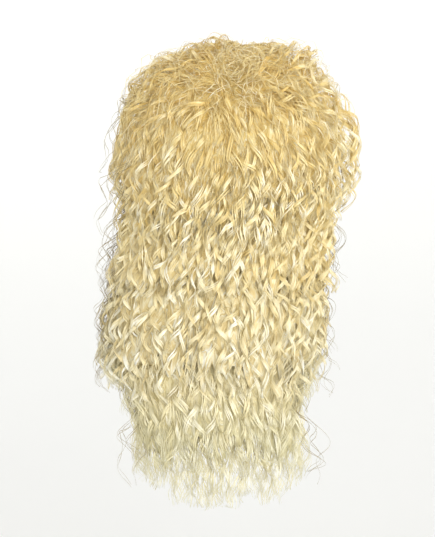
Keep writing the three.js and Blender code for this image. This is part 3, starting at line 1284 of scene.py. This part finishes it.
@dataclass(frozen=True)
class Packing:
    """The fibre packed behind a weft's locks: a thin sheet, ridged along the hair."""

    share: float = 0.36
    tip_share: float = 0.12
    root_share: float = 0.2
    taper_from: float = 0.5
    thickness: float = 0.0010
    relief: float = 0.0009
    column: float = 0.0032
    row: float = 0.0075
    ridge_columns: int = 3
    ridge_rows: int = 6
    short: float = 0.015
    scatter: float = 0.024
    ragged: float = 0.6
    clear: float = 0.0004

    def ridges(self, rng: np.random.Generator, rows: int, columns: int, wrap: bool) -> Array:
        """Smooth ridges from -1 to 1 that run down the rows.

        Args:
            rng: Draws them.
            rows: The sheet's rows.
            columns: The sheet's columns.
            wrap: Whether the last column joins the first.

        Returns:
            One height a point.
        """
        coarse = rng.uniform(-1.0, 1.0, (rows // self.ridge_rows + 2, columns // self.ridge_columns + 2))
        if wrap:
            coarse[:, -1] = coarse[:, 0]
        across = np.linspace(0.0, coarse.shape[1] - 1.0, columns, endpoint=not wrap)
        down = np.linspace(0.0, coarse.shape[0] - 1.0, rows)
        wide = np.stack([np.interp(across, np.arange(coarse.shape[1]), line) for line in coarse])
        return np.stack([np.interp(down, np.arange(coarse.shape[0]), line) for line in wide.T], axis=1)

    def edge(self, rng: np.random.Generator, columns: int, wrap: bool) -> Array:
        """How far each column reaches past the sheet's mean edge or stops short of it."""
        smooth = self.ridges(rng, 1, columns, wrap)[0]
        return self.scatter * lerp(smooth, rng.uniform(-1.0, 1.0, columns), self.ragged)

    def lay(self, name: str, form: HeadForm, bed: Bed, ridges: Array, wrap: bool,
            finish: HairFinish) -> Object:
        """Makes the sheet, mapped and dressed.

        Args:
            name: Its name.
            form: The surface that it follows.
            bed: Where its points lie.
            ridges: The ridges' heights.
            wrap: Whether it closes on itself.
            finish: The weft's finish.

        Returns:
            The sheet.
        """
        along = np.linspace(0.0, 1.0, len(ridges))[:, None]
        share = lerp(self.share, self.tip_share, smoothstep(along, self.taper_from, 1.0))
        raised = smoothstep(bed.room, 0.0, self.relief / self.share) * smoothstep(along, 0.0, self.root_share)
        outer = bed.base + share * bed.room + self.relief * ridges * raised
        outer = np.maximum(outer, self.thickness + self.clear)
        faces = [form.drape(bed.turn, bed.fall, lift) for lift in (outer, outer - self.thickness)]
        mesh = sheet_mesh(name, *faces, wrap)
        self.map_sheet(mesh, *ridges.shape)
        mesh.materials.append(PackedFinish(finish).dressed())
        return settle(mesh_object(name, mesh))

    def map_sheet(self, mesh: Mesh, rows: int, columns: int) -> None:
        """Maps a sheet across and along the hair. A sheet that wraps runs on past its seam.

        Args:
            mesh: The sheet.
            rows: Its rows.
            columns: Its columns.
        """
        width = columns * self.column / PackedFinish.MAP_WIDTH
        sides = np.linspace(0.0, width, columns, endpoint=False)
        across, along = np.meshgrid(sides, np.linspace(0.0, 1.0, rows))
        places = np.tile(np.stack([across.ravel(), along.ravel()], axis=1), (2, 1))
        faces = places[corner_points(mesh)].reshape(-1, 4, 2)
        seam = np.ptp(faces[..., 0], axis=1) > width / 2.0
        faces[..., 0] += width * (seam[:, None] & (faces[..., 0] < width / 2.0))
        write_map(mesh, BAKE_MAP, faces)


class HairPiece:
    """What the hanging wefts and the crown share."""

    PACKING_SEED = 100

    @staticmethod
    def grow(guides: Guides, name: str, finish: HairFinish, seed: int, replaced: str = "") -> Object:
        """Grows the strands of one piece of hair, mapped and dressed.

        Args:
            guides: Its guide lines.
            name: Its name.
            finish: Its finish.
            seed: The seed of its strands.
            replaced: The solid that it stands for, if any.

        Returns:
            The hair.
        """
        values = {"Seed": seed, "Material": finish.dressed()}
        hair = grown(guides.to_object(f"{name}_guides"), StrandTree.tree(), values, name)
        map_strands(hair.data)
        return settle(hair, replaced)


@dataclass
class HangingHair(HairPiece):
    """Grows the hair of one hanging weft."""

    stack: HairStack
    weft: HangingWeft
    packing: Packing = Packing()

    ROOT_RISE = 0.030
    CURL_FROM = 0.85
    TIP_SKEW = (1.6, 2.6)
    TIP_BELOW = 0.3

    def piece_name(self, kind: str) -> str:
        """The name of the weft's piece of a kind."""
        return self.weft.node.replace("_weft", f"_{kind}")

    def bed(self, turn: Array, fall: Array, distance: Array) -> Bed:
        """Where hair of the weft lies.

        Args:
            turn: The turn of each point.
            fall: The fall of each point.
            distance: The distance of each point from the root.

        Returns:
            The bed.
        """
        base = self.stack.lift(self.stack.under(self.weft), turn, fall)
        room = self.weft.depth * self.weft.cover(turn, fall) * smoothstep(distance, 0.0, self.ROOT_RISE)
        return Bed(turn, fall, base, room)

    def build(self) -> Object:
        """Lays out the locks along the track and grows them.

        Returns:
            The hair.
        """
        weft = self.weft
        rng = np.random.default_rng(weft.seed)
        maker = LockMaker(self.stack.form, rng)
        guides = Guides()
        for style, count in weft.bunches:
            shares = (np.arange(count) + rng.uniform(0.0, 1.0, count)) / count
            ranks = lerp(style.low_rank, style.high_rank, rng.permutation(count) / max(count - 1, 1))
            for share, rank in zip(shares, ranks):
                side = 2.0 * share - 1.0
                side = math.copysign(lerp(style.aside, 1.0, abs(side)), side + style.lean)
                self.add_lock(guides, maker, style, side, rank)
        return self.grow(guides, self.piece_name("hair"), weft.finish, weft.seed, weft.node)

    def build_packing(self) -> Object:
        """Lays the sheet of packed fibre behind the locks, with an uneven lower edge.

        Returns:
            The sheet.
        """
        weft, form, packing = self.weft, self.stack.form, self.packing
        rng = np.random.default_rng(weft.seed + self.PACKING_SEED)
        columns = int(form.way(2.0 * weft.half) / packing.column)
        rows = int(form.way(form.fall_at(weft.tip_middle) - weft.root) / packing.row)
        side = np.linspace(-1.0, 1.0, columns)[None, :]
        along = np.linspace(0.0, 1.0, rows)[:, None]
        reach = packing.edge(rng, columns, False)
        tip = form.fall_at(weft.tip_height(side) + packing.short + weft.packing_short + reach)
        fall = lerp(weft.root, tip, along)
        bed = self.bed(weft.turn_at(side, along), fall, form.way(fall - weft.root))
        ridges = packing.ridges(rng, rows, columns, False)
        return packing.lay(self.piece_name("packing"), form, bed, ridges, False, weft.finish)

    def add_lock(self, guides: Guides, maker: LockMaker, style: LockStyle, side: float, rank: float) -> None:
        """Adds a lock.

        Args:
            guides: The weft's guides.
            maker: Makes the lock.
            style: The lock's kind.
            side: Its place along the track, from -1 at one end to 1 at the other.
            rank: Its own depth, 0 inside to 1 outside.
        """
        weft, form = self.weft, self.stack.form
        height = weft.tip_height(side) + weft.tip_scatter * (maker.rng.beta(*self.TIP_SKEW) - self.TIP_BELOW)
        tip = float(form.fall_at(height))
        length = form.way(tip - weft.root)
        distance = maker.stations(style, length, min(weft.hidden, length / 2.0))
        along = distance / length
        turn = weft.turn_at(side, along) + maker.drift(style, distance)
        bed = self.bed(turn, lerp(weft.root, tip, along), distance)
        maker.add(guides, style, bed, distance, rank, self.CURL_FROM * weft.hidden)


@dataclass
class CrownHair(HairPiece):
    """Grows the round top piece, whose hair leaves one whorl in all directions and turns to hang down."""

    stack: HairStack
    finish: HairFinish
    bunches: tuple[Bunch, ...]
    mats: tuple[Mat, ...]
    seed: int
    node: str = "crown_weft"
    packing: Packing = Packing(share=0.42, tip_share=0.03, column=0.0034, row=0.006, scatter=7.0)
    packing_near: float = 0.1
    packing_back: float = 70.0
    packing_front: float = 94.0
    packing_side: float = 12.0
    whorl: float = 42.0
    root_near: float = 1.0
    root_far: float = 52.0
    root_crowding: float = 0.75
    length_back: float = 92.0
    length_front: float = 128.0
    scatter: float = 12.0
    hang_starts: float = 55.0
    hang_ends: float = 95.0
    least_depth: float = 0.009
    full_radius: float = 16.0
    curl_from: float = 0.014
    swirl: float = 0.15
    bend: float = 0.5
    stand: tuple[StandRow, ...] = (
        StandRow(0, 0.0165), StandRow(25, 0.026), StandRow(45, 0.037), StandRow(65, 0.040),
        StandRow(180, 0.040),
    )
    share: tuple[ShareRow, ...] = (
        ShareRow(0, 0.55), ShareRow(40, 0.7), ShareRow(85, 1.0), ShareRow(110, 1.0),
        ShareRow(150, 0.72), ShareRow(180, 0.68),
    )
    tufts: tuple[TuftRow, ...] = (
        TuftRow(-90, 38, 14, 0.010), TuftRow(-92, 78, 18, 0.011), TuftRow(90, 52, 12, 0.005),
        TuftRow(60, 9, 8, 0.009), TuftRow(-90, 6, 9, -0.006),
    )

    GOLDEN = 0.618034
    ROOT_RISE = 0.028
    MAT_RISE = 0.010
    MAT_LENGTHS = (0.6, 1.2)
    SCATTERS = (-1.0, 0.8)
    ASIDE = 110.0
    TUFT_SHARE = 0.45

    @staticmethod
    def forwards(heading: float) -> float:
        """How far a heading points to the front, from 0 down the back to 1."""
        return (1.0 - math.cos(math.radians(heading))) / 2.0

    def heading(self, index: int) -> float:
        """Spreads headings evenly round the whorl, however many there are."""
        return FULL_TURN * ((index * self.GOLDEN) % 1.0)

    def full(self, radius: Array) -> Array:
        """The share of its depth that the hair has at a distance from the whorl in degrees."""
        return smoothstep(radius, -self.full_radius, self.full_radius)

    def tuft_lift(self, turn: Array, fall: Array) -> Array:
        """How much further than the rest of the crown its tufts stand off.

        Args:
            turn: The places' turn.
            fall: Their fall.

        Returns:
            One lift a place.
        """
        here = direction(turn, fall)
        lift = 0.0 * turn
        for tuft in self.tufts:
            away = np.degrees(np.arccos(np.clip(here @ direction(tuft.turn, tuft.fall), -1.0, 1.0)))
            lift = lift + tuft.height * np.exp(-((away / tuft.radius) ** 2))
        return lift

    def depth(self, turn: Array, fall: Array) -> Array:
        """How deep the crown's hair is over the layers under it.

        Args:
            turn: The places' turn.
            fall: Their fall.

        Returns:
            One depth a place.
        """
        part = read_table(self.share, np.abs(turn_from(0.0, turn)), "share")
        lift = read_table(self.stand, fall, "lift")
        lift = lift * lerp(1.0, part, smoothstep(fall, 0.0, self.hang_starts)) + self.tuft_lift(turn, fall)
        return np.maximum(self.least_depth, lift - self.stack.lift(self.stack.wefts, turn, fall))

    def path(self, heading: float, first: float, last: float, count: int,
             bend: float) -> tuple[Array, Array, Array]:
        """A lock's way over the head.

        Args:
            heading: The direction it leaves the whorl, 0 down the back and 90 towards +X.
            first: Its root's distance from the whorl in degrees.
            last: Its tip's, measured along its way.
            count: How many points it has.
            bend: How far it swings to one side near the whorl, in radians.

        Returns:
            The turn, the fall and the distance from the root of each point.
        """
        whorl = direction(0.0, self.whorl)
        down_back = np.array([0.0, whorl[2], -whorl[1]])
        left = np.array([1.0, 0.0, 0.0])
        down = np.array([0.0, 0.0, -1.0])
        leave = down_back * math.cos(math.radians(heading)) + left * math.sin(math.radians(heading))
        here = whorl * math.cos(math.radians(first)) + leave * math.sin(math.radians(first))
        step = math.radians(last - first) / (count - 1)
        places = []
        for _ in range(count):
            places.append(here)
            hang = smoothstep(np.degrees(np.arccos(here[2])), self.hang_starts, self.hang_ends)
            away = along_head(-whorl, here)
            swing = bend * (1.0 - hang)
            away = away * math.cos(swing) + np.cross(here, away) * math.sin(swing)
            onward = along_head(lerp(away, along_head(down, here), hang), here)
            here = here * math.cos(step) + onward * math.sin(step)
            here = here / np.linalg.norm(here)
        line = np.array(places)
        turn = np.degrees(np.arctan2(line[:, 0], line[:, 1]))
        fall = np.degrees(np.arccos(np.clip(line[:, 2], -1.0, 1.0)))
        return turn, fall, np.arange(count) * step * self.stack.form.crown

    def build(self) -> Object:
        """Spreads the roots over the crown and grows the locks.

        Returns:
            The hair.
        """
        rng = np.random.default_rng(self.seed)
        maker = LockMaker(self.stack.form, rng)
        guides = Guides()
        for style, count in self.bunches:
            for index in range(count):
                heading = turn_from(0.0, self.heading(index))
                swung = lerp(style.aside * self.ASIDE, HALF_TURN, abs(heading) / HALF_TURN)
                heading = math.copysign(swung, heading + style.lean * HALF_TURN)
                share = ((index + 0.5) / count) ** self.root_crowding
                first = lerp(self.root_near, self.root_far, share)
                last = lerp(self.length_back, self.length_front, self.forwards(heading))
                last = last + self.scatter * rng.uniform(*self.SCATTERS)
                self.add_lock(guides, maker, style, heading, first, last, self.bend, self.ROOT_RISE)
        return self.grow(guides, "crown_hair", self.finish, self.seed, self.node)

    def build_mat(self) -> Object:
        """Grows the short matted locks and the fuzz that lie over the crown.

        Returns:
            The matted hair.
        """
        rng = np.random.default_rng(self.seed + 1)
        maker = LockMaker(self.stack.form, rng)
        guides = Guides()
        for mat in self.mats:
            for index in range(mat.count):
                first = math.sqrt(lerp(mat.near ** 2, mat.far ** 2, (index + 0.5) / mat.count))
                last = first + mat.length * rng.uniform(*self.MAT_LENGTHS)
                heading = self.heading(index)
                self.add_lock(guides, maker, mat.style, heading, first, last, mat.bend, self.MAT_RISE)
        return self.grow(guides, "crown_fuzz", self.finish, self.seed + 1)

    def build_packing(self) -> Object:
        """Lays the sheet of packed fibre round the whorl, with an uneven outer edge.

        Returns:
            The sheet.
        """
        form, packing = self.stack.form, self.packing
        rng = np.random.default_rng(self.seed + self.PACKING_SEED)
        columns = int(math.tau * form.half_depth / packing.column)
        rows = int(form.way(self.packing_front) / packing.row)
        headings = np.linspace(-HALF_TURN, HALF_TURN, columns, endpoint=False)
        lines = []
        for heading, extra in zip(headings, packing.edge(rng, columns, True)):
            last = lerp(self.packing_back, self.packing_front, self.forwards(heading)) + extra
            last = last + self.packing_side * math.sin(math.radians(heading)) ** 2
            lines.append(self.path(heading, self.packing_near, last, rows, self.swirl))
        turn, fall = (np.stack([line[which] for line in lines], axis=1) for which in (0, 1))
        radius = np.linspace(0.0, self.packing_back, rows)[:, None]
        raised = 1.0 - smoothstep(radius, packing.taper_from * self.packing_back, self.packing_back)
        base = self.stack.lift(self.stack.wefts, turn, fall)
        base = base + self.TUFT_SHARE * raised * self.tuft_lift(turn, fall)
        ridges = packing.ridges(rng, rows, columns, True)
        bed = Bed(turn, fall, base, self.depth(turn, fall) * self.full(radius))
        return packing.lay("crown_packing", form, bed, ridges, True, self.finish)

    def add_lock(self, guides: Guides, maker: LockMaker, style: LockStyle, heading: float, first: float,
                 last: float, bend: float, rise: float) -> None:
        """Adds a lock that leaves the whorl.

        Args:
            guides: The crown's guides.
            maker: Makes the lock.
            style: The lock's kind.
            heading: The direction it leaves the whorl.
            first: Its root's distance from the whorl in degrees.
            last: Its tip's.
            bend: The most that it swings to one side, in radians.
            rise: The distance from its root over which it comes up to its own depth.
        """
        rng, form = maker.rng, self.stack.form
        bend = self.swirl + rng.uniform(-bend, bend)
        count = max(int(form.way(last - first) / style.step), maker.LEAST_POINTS)
        turn, fall, distance = self.path(heading, first, last, count, bend)
        turn = turn + maker.drift(style, distance) * smoothstep(fall, 0.0, LEVEL)
        full = self.full(first + np.degrees(distance / form.crown)) * smoothstep(distance, 0.0, rise)
        base = self.stack.lift(self.stack.wefts, turn, fall)
        rank = rng.uniform(style.low_rank, style.high_rank)
        curl_from = max(self.curl_from - form.way(first), 0.0)
        bed = Bed(turn, fall, base, full * self.depth(turn, fall))
        maker.add(guides, style, bed, distance, rank, curl_from)


@dataclass
class WigCap:
    """The net cap, a smooth shell that follows the solid one."""

    form: HeadForm
    finish: NetFinish
    columns: int = 96
    rows: int = 30
    top: float = 1.2
    node: str = "cap"

    def build(self) -> Object:
        """Lofts the shell down the outside and back up the inside, and closes both tops.

        Returns:
            The cap.
        """
        turns = np.linspace(0.0, FULL_TURN, self.columns, endpoint=False)
        shares = np.linspace(0.0, 1.0, self.rows)[:, None]
        falls = lerp(self.top, self.form.edge_fall(turns)[None, :], shares)
        outside = self.form.drape(turns[None, :], falls, 0.0)
        inside = self.form.drape(turns[None, :], falls, -self.form.wall)[::-1]
        mesh = ring_mesh("cap_net", np.concatenate([outside, inside]), False)
        close_shell(mesh)
        self.map_net(mesh, np.concatenate([falls, falls[::-1]]))
        mesh.materials.append(self.finish.dressed())
        return settle(mesh_object("cap_net", mesh), self.node)

    def map_net(self, mesh: Mesh, falls: Array) -> None:
        """Lays the net's map over the shell, in metres round and down the cap.

        Args:
            mesh: The shell.
            falls: The fall of each point.
        """
        points = np.empty(len(mesh.vertices) * 3, np.float32)
        mesh.vertices.foreach_get("co", points)
        points = points.reshape(-1, 3)
        around = np.arctan2(points[:, 0] / self.form.half_width, points[:, 1] / self.form.half_depth)
        places = np.stack([around * self.form.half_depth, self.form.way(falls.ravel())], axis=1)
        write_map(mesh, NET_MAP, places[corner_points(mesh)])


@dataclass
class EdgeBand:
    """The elastic band inside the cap's edge, ribbed across its width."""

    form: HeadForm
    finish: ElasticFinish
    thickness: float = 0.0015
    gap: float = 0.0005
    share: float = 1.0 / 12.0
    ribs: int = 180
    per_rib: int = 4
    rows: int = 5
    rib_depth: float = 0.0003
    node: str = "edge_band"

    def build(self) -> Object:
        """Sweeps the ribbed section round the head.

        Returns:
            The band.
        """
        turns = np.linspace(0.0, FULL_TURN, self.ribs * self.per_rib, endpoint=False)
        rib = self.rib_depth * np.cos(np.radians(turns) * self.ribs)
        edge = self.form.edge_fall(turns)
        outer = -self.form.wall - self.gap
        top = 1.0 - self.share
        rings = [self.form.drape(turns, edge * share, outer) for share in (top, 1.0)]
        for share in np.linspace(1.0, top, self.rows):
            rings.append(self.form.drape(turns, edge * share, outer - self.thickness + rib))
        mesh = ring_mesh("edge_elastic", np.array(rings), True)
        mesh.materials.append(self.finish.dressed())
        return settle(mesh_object("edge_elastic", mesh), self.node)


class Light(NamedTuple):
    """A light from one direction, 0 at the front and 180 at the back. Softness is the angle it fills."""

    name: str
    azimuth: float
    elevation: float
    strength: float
    softness: float


@dataclass
class Studio:
    """Pale floor that curves up into a wall all round, soft lights and the camera."""

    photo_width: int = 435
    scale: float = 0.001
    centre_x: float = 0.0155
    centre_z: float = -0.2065
    distance: float = 2.2
    elevation: float = 4.0
    sensor: float = 36.0
    floor_drop: float = 0.16
    floor_middle: float = 0.0001
    floor_radius: float = 3.6
    wall_radius: float = 12.6
    wall_height: float = 10.2
    cove_rows: int = 9
    columns: int = 96
    finish: PaperFinish = PaperFinish()
    lights: tuple[Light, ...] = (
        Light("key", azimuth=200.0, elevation=6.0, strength=1.9, softness=40.0),
        Light("window", azimuth=20.0, elevation=50.0, strength=0.2, softness=60.0),
    )
    ambient: float = 0.80

    def build(self) -> None:
        """Sets up the whole studio."""
        self.add_floor()
        self.add_camera()
        for light in self.lights:
            self.add_light(light)
        world = bpy.data.worlds.new("studio")
        world.use_nodes = True
        sky = world.node_tree.nodes["Background"]
        sky.inputs["Color"].default_value = WHITE
        sky.inputs["Strength"].default_value = self.ambient
        bpy.context.scene.world = world
        bpy.context.scene.view_settings.view_transform = "Standard"

    def add_floor(self) -> None:
        """Makes the floor and the wall that it curves into, as one swept sheet."""
        bottom = CAD_BOX[0].z - self.floor_drop
        bend = self.wall_radius - self.floor_radius
        profile = [(self.floor_middle, 0.0), (self.floor_radius, 0.0)]
        for angle in np.linspace(0.0, math.pi / 2.0, self.cove_rows + 1)[1:]:
            profile.append((self.floor_radius + bend * math.sin(angle), bend * (1.0 - math.cos(angle))))
        profile.append((self.wall_radius, self.wall_height))
        turns = np.linspace(0.0, math.tau, self.columns, endpoint=False)
        rings = np.array([
            [(radius * math.cos(turn), radius * math.sin(turn), bottom + height) for turn in turns]
            for radius, height in profile
        ])
        floor = mesh_object("floor", ring_mesh("floor", rings, False))
        floor.data.materials.append(self.finish.dressed())
        floor.visible_shadow = False

    def add_camera(self) -> None:
        """Places the camera behind the wig at the photograph's angle."""
        data = bpy.data.cameras.new("camera")
        data.sensor_fit = "HORIZONTAL"
        data.sensor_width = self.sensor
        data.lens = self.sensor * self.distance / (self.photo_width * self.scale)
        camera = bpy.data.objects.new("camera", data)
        tilt = math.radians(self.elevation)
        target = Vector((self.centre_x, 0.0, self.centre_z))
        camera.location = target + self.distance * Vector((0.0, math.cos(tilt), math.sin(tilt)))
        camera.rotation_euler = (target - camera.location).to_track_quat("-Z", "Y").to_euler()
        bpy.context.scene.collection.objects.link(camera)
        bpy.context.scene.camera = camera

    def add_light(self, given: Light) -> None:
        """Adds a light.

        Args:
            given: Its values.
        """
        data = bpy.data.lights.new(given.name, "SUN")
        data.energy = given.strength
        data.angle = math.radians(given.softness)
        light = bpy.data.objects.new(given.name, data)
        around, up = math.radians(given.azimuth), math.radians(given.elevation)
        source = Vector((math.sin(around) * math.cos(up), -math.cos(around) * math.cos(up), math.sin(up)))
        light.location = self.distance * source
        light.rotation_euler = (-source).to_track_quat("-Z", "Y").to_euler()
        bpy.context.scene.collection.objects.link(light)


CROWN_FINISH = HairFinish(
    Slot.HAIR_CROWN, colour(228, 200, 125), colour(237, 215, 150), colour(244, 228, 175),
    colour(254, 247, 220),
    root=(0.94, 0.86, 0.66, 1.0), tip=(0.98, 1.01, 1.12, 1.0), tip_share=0.5)
BACK_FINISH = HairFinish(
    Slot.HAIR_BACK, colour(233, 209, 144), colour(240, 222, 166), colour(246, 233, 189),
    colour(254, 249, 228))
# Partly painted shade: a darker copy of the back finish that evens out the lower tier, on which the light
# falls more fully; its tips also turn a cooler tone towards the tail.
SHADED_LOWER_BACK_FINISH = HairFinish(
    Slot.HAIR_BACK, colour(228, 206, 146), colour(235, 219, 168), colour(242, 231, 191),
    colour(252, 248, 229),
    tip=(0.95, 0.985, 1.10, 1.0), layer="_lower_shaded")
TAIL_FINISH = HairFinish(
    Slot.HAIR_TAIL, colour(229, 218, 173), colour(237, 228, 190), colour(244, 237, 205),
    colour(253, 249, 232),
    root=(1.02, 0.96, 0.8, 1.0), root_from=0.55, root_to=0.95, tip=(0.84, 0.845, 0.80, 1.0), tip_share=0.22)

CURLED = LockStyle()
TOPMOST = LockStyle(
    half_width=0.00052, root_spread=0.9, curl=0.0052, frizz=0.0014, root_frizz=0.8, low_rank=0.6,
    high_rank=1.12)
MATTED = LockStyle(
    strands=6, half_width=0.00036, spread=0.0030, root_spread=1.0, tip_spread=1.4, curl=0.0020, pitch=0.05,
    frizz=0.0030, root_frizz=1.0, step=0.0045, low_rank=0.7, high_tint=0.6)
SLEEK = LockStyle(
    half_width=0.00042, spread=0.0018, root_spread=0.9, curl=0.0040, pitch=0.04, frizz=0.0018, root_frizz=0.8,
    step=0.0034, low_rank=0.65, low_tint=0.2, high_tint=0.95)
FUZZ = LockStyle(
    strands=2, half_width=0.00028, spread=0.003, root_spread=1.0, tip_spread=1.5, curl=0.003, pitch=0.03,
    frizz=0.006, root_frizz=0.8, step=0.004, low_rank=0.9, high_rank=1.12, low_tint=0.3, high_tint=0.95)
# Stray fibres, whose tint the finish darkens with painted shade.
FLYING = LockStyle(
    strands=2, half_width=0.00028, spread=0.001, tip_spread=1.0, curl=0.0055, pitch=0.036, frizz=0.004,
    wander=0.012, step=0.0031, low_rank=0.9, stand=0.020, low_tint=0.01, high_tint=0.01, aside=0.76, lean=0.3)
LOOSE = LockStyle(
    strands=5, half_width=0.00043, spread=0.0018, tip_spread=1.4, curl=0.0041, pitch=0.037, frizz=0.0022,
    step=0.0034)
FRIZZY = LockStyle(
    strands=7, half_width=0.00036, spread=0.0026, tip_spread=1.5, curl=0.0034, pitch=0.042, frizz=0.0028,
    step=0.0048, low_rank=0.3)

CROWN_MATS = (
    Mat(MATTED, 70, near=0.0, far=30.0, length=42.0, bend=1.0),
    Mat(FUZZ, 240, near=0.0, far=62.0, length=30.0, bend=1.6),
    Mat(FUZZ, 60, near=0.0, far=9.0, length=28.0, bend=1.9),
    Mat(SLEEK, 140, near=36.0, far=82.0, length=36.0, bend=0.5),
)


def bunches(surface: LockStyle, locks: int, flying: int) -> tuple[Bunch, ...]:
    """A weft's locks: its surface and stray fibres."""
    return Bunch(surface, locks), Bunch(FLYING, flying)


def hanging_wefts() -> list[HangingWeft]:
    """Lists the hanging wefts.

    Returns:
        The wefts, inner layers first.
    """
    temple = {"root": 56, "spread": 1.2, "tip_middle": -0.192, "tip_end": -0.182, "hidden": 0.03}
    return [
        HangingWeft("nape_weft", Zone.BACK, TAIL_FINISH, bunches(FRIZZY, 80, 7), seed=11,
                    start=-50, end=50, root=106, spread=1.36, tip_middle=-0.427, tip_end=-0.406, hidden=0.17,
                    packing_short=0.05),
        HangingWeft("back_low_weft", Zone.BACK, TAIL_FINISH, bunches(LOOSE, 112, 11), seed=12,
                    start=-84, end=84, root=90, spread=1.02, tip_middle=-0.392, tip_end=-0.318, hidden=0.18,
                    rise_from=0.5, rise_to=0.8),
        HangingWeft("back_mid_weft", Zone.BACK, SHADED_LOWER_BACK_FINISH, bunches(CURLED, 124, 14), seed=13,
                    start=-93, end=93, root=74, spread=1.02, tip_middle=-0.320, tip_end=-0.290, hidden=0.12,
                    tip_scatter=0.062, rise_from=0.35, rise_to=1.05, packing_short=0.006),
        HangingWeft("back_high_weft", Zone.BACK, BACK_FINISH, bunches(CURLED, 150, 22), seed=14,
                    start=-99, end=99, root=57, spread=1.04, tip_middle=-0.226, tip_end=-0.218, hidden=0.09),
        HangingWeft("temple_weft_left", Zone.LEFT, BACK_FINISH, bunches(CURLED, 20, 4), seed=15, start=104,
                    end=139, **temple),
        HangingWeft("temple_weft_right", Zone.RIGHT, BACK_FINISH, bunches(CURLED, 20, 4), seed=16, start=-139,
                    end=-104, **temple),
        HangingWeft("fringe_weft", Zone.FRONT, CROWN_FINISH, bunches(CURLED, 36, 4), seed=17,
                    start=143, end=217, root=40, spread=1.0, tip_middle=-0.106, tip_end=-0.118, hidden=0.02),
    ]


def main() -> None:
    """Builds the studio and the wig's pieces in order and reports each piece."""
    logging.basicConfig(level=logging.INFO, format="%(message)s")
    form = HeadForm()
    stack = HairStack(form, hanging_wefts())
    Studio().build()
    pieces = [WigCap(form, NetFinish()).build(), EdgeBand(form, ElasticFinish()).build()]
    for weft in stack.wefts:
        hair = HangingHair(stack, weft)
        pieces += [hair.build_packing(), hair.build()]
    crown = CrownHair(stack, CROWN_FINISH, bunches(TOPMOST, 160, 26), CROWN_MATS, seed=18)
    pieces += [crown.build_packing(), crown.build(), crown.build_mat()]
    for piece in pieces:
        piece.data.calc_loop_triangles()
        log.info("%s: %d triangles", piece.name, len(piece.data.loop_triangles))


if __name__ == "__main__":
    main()
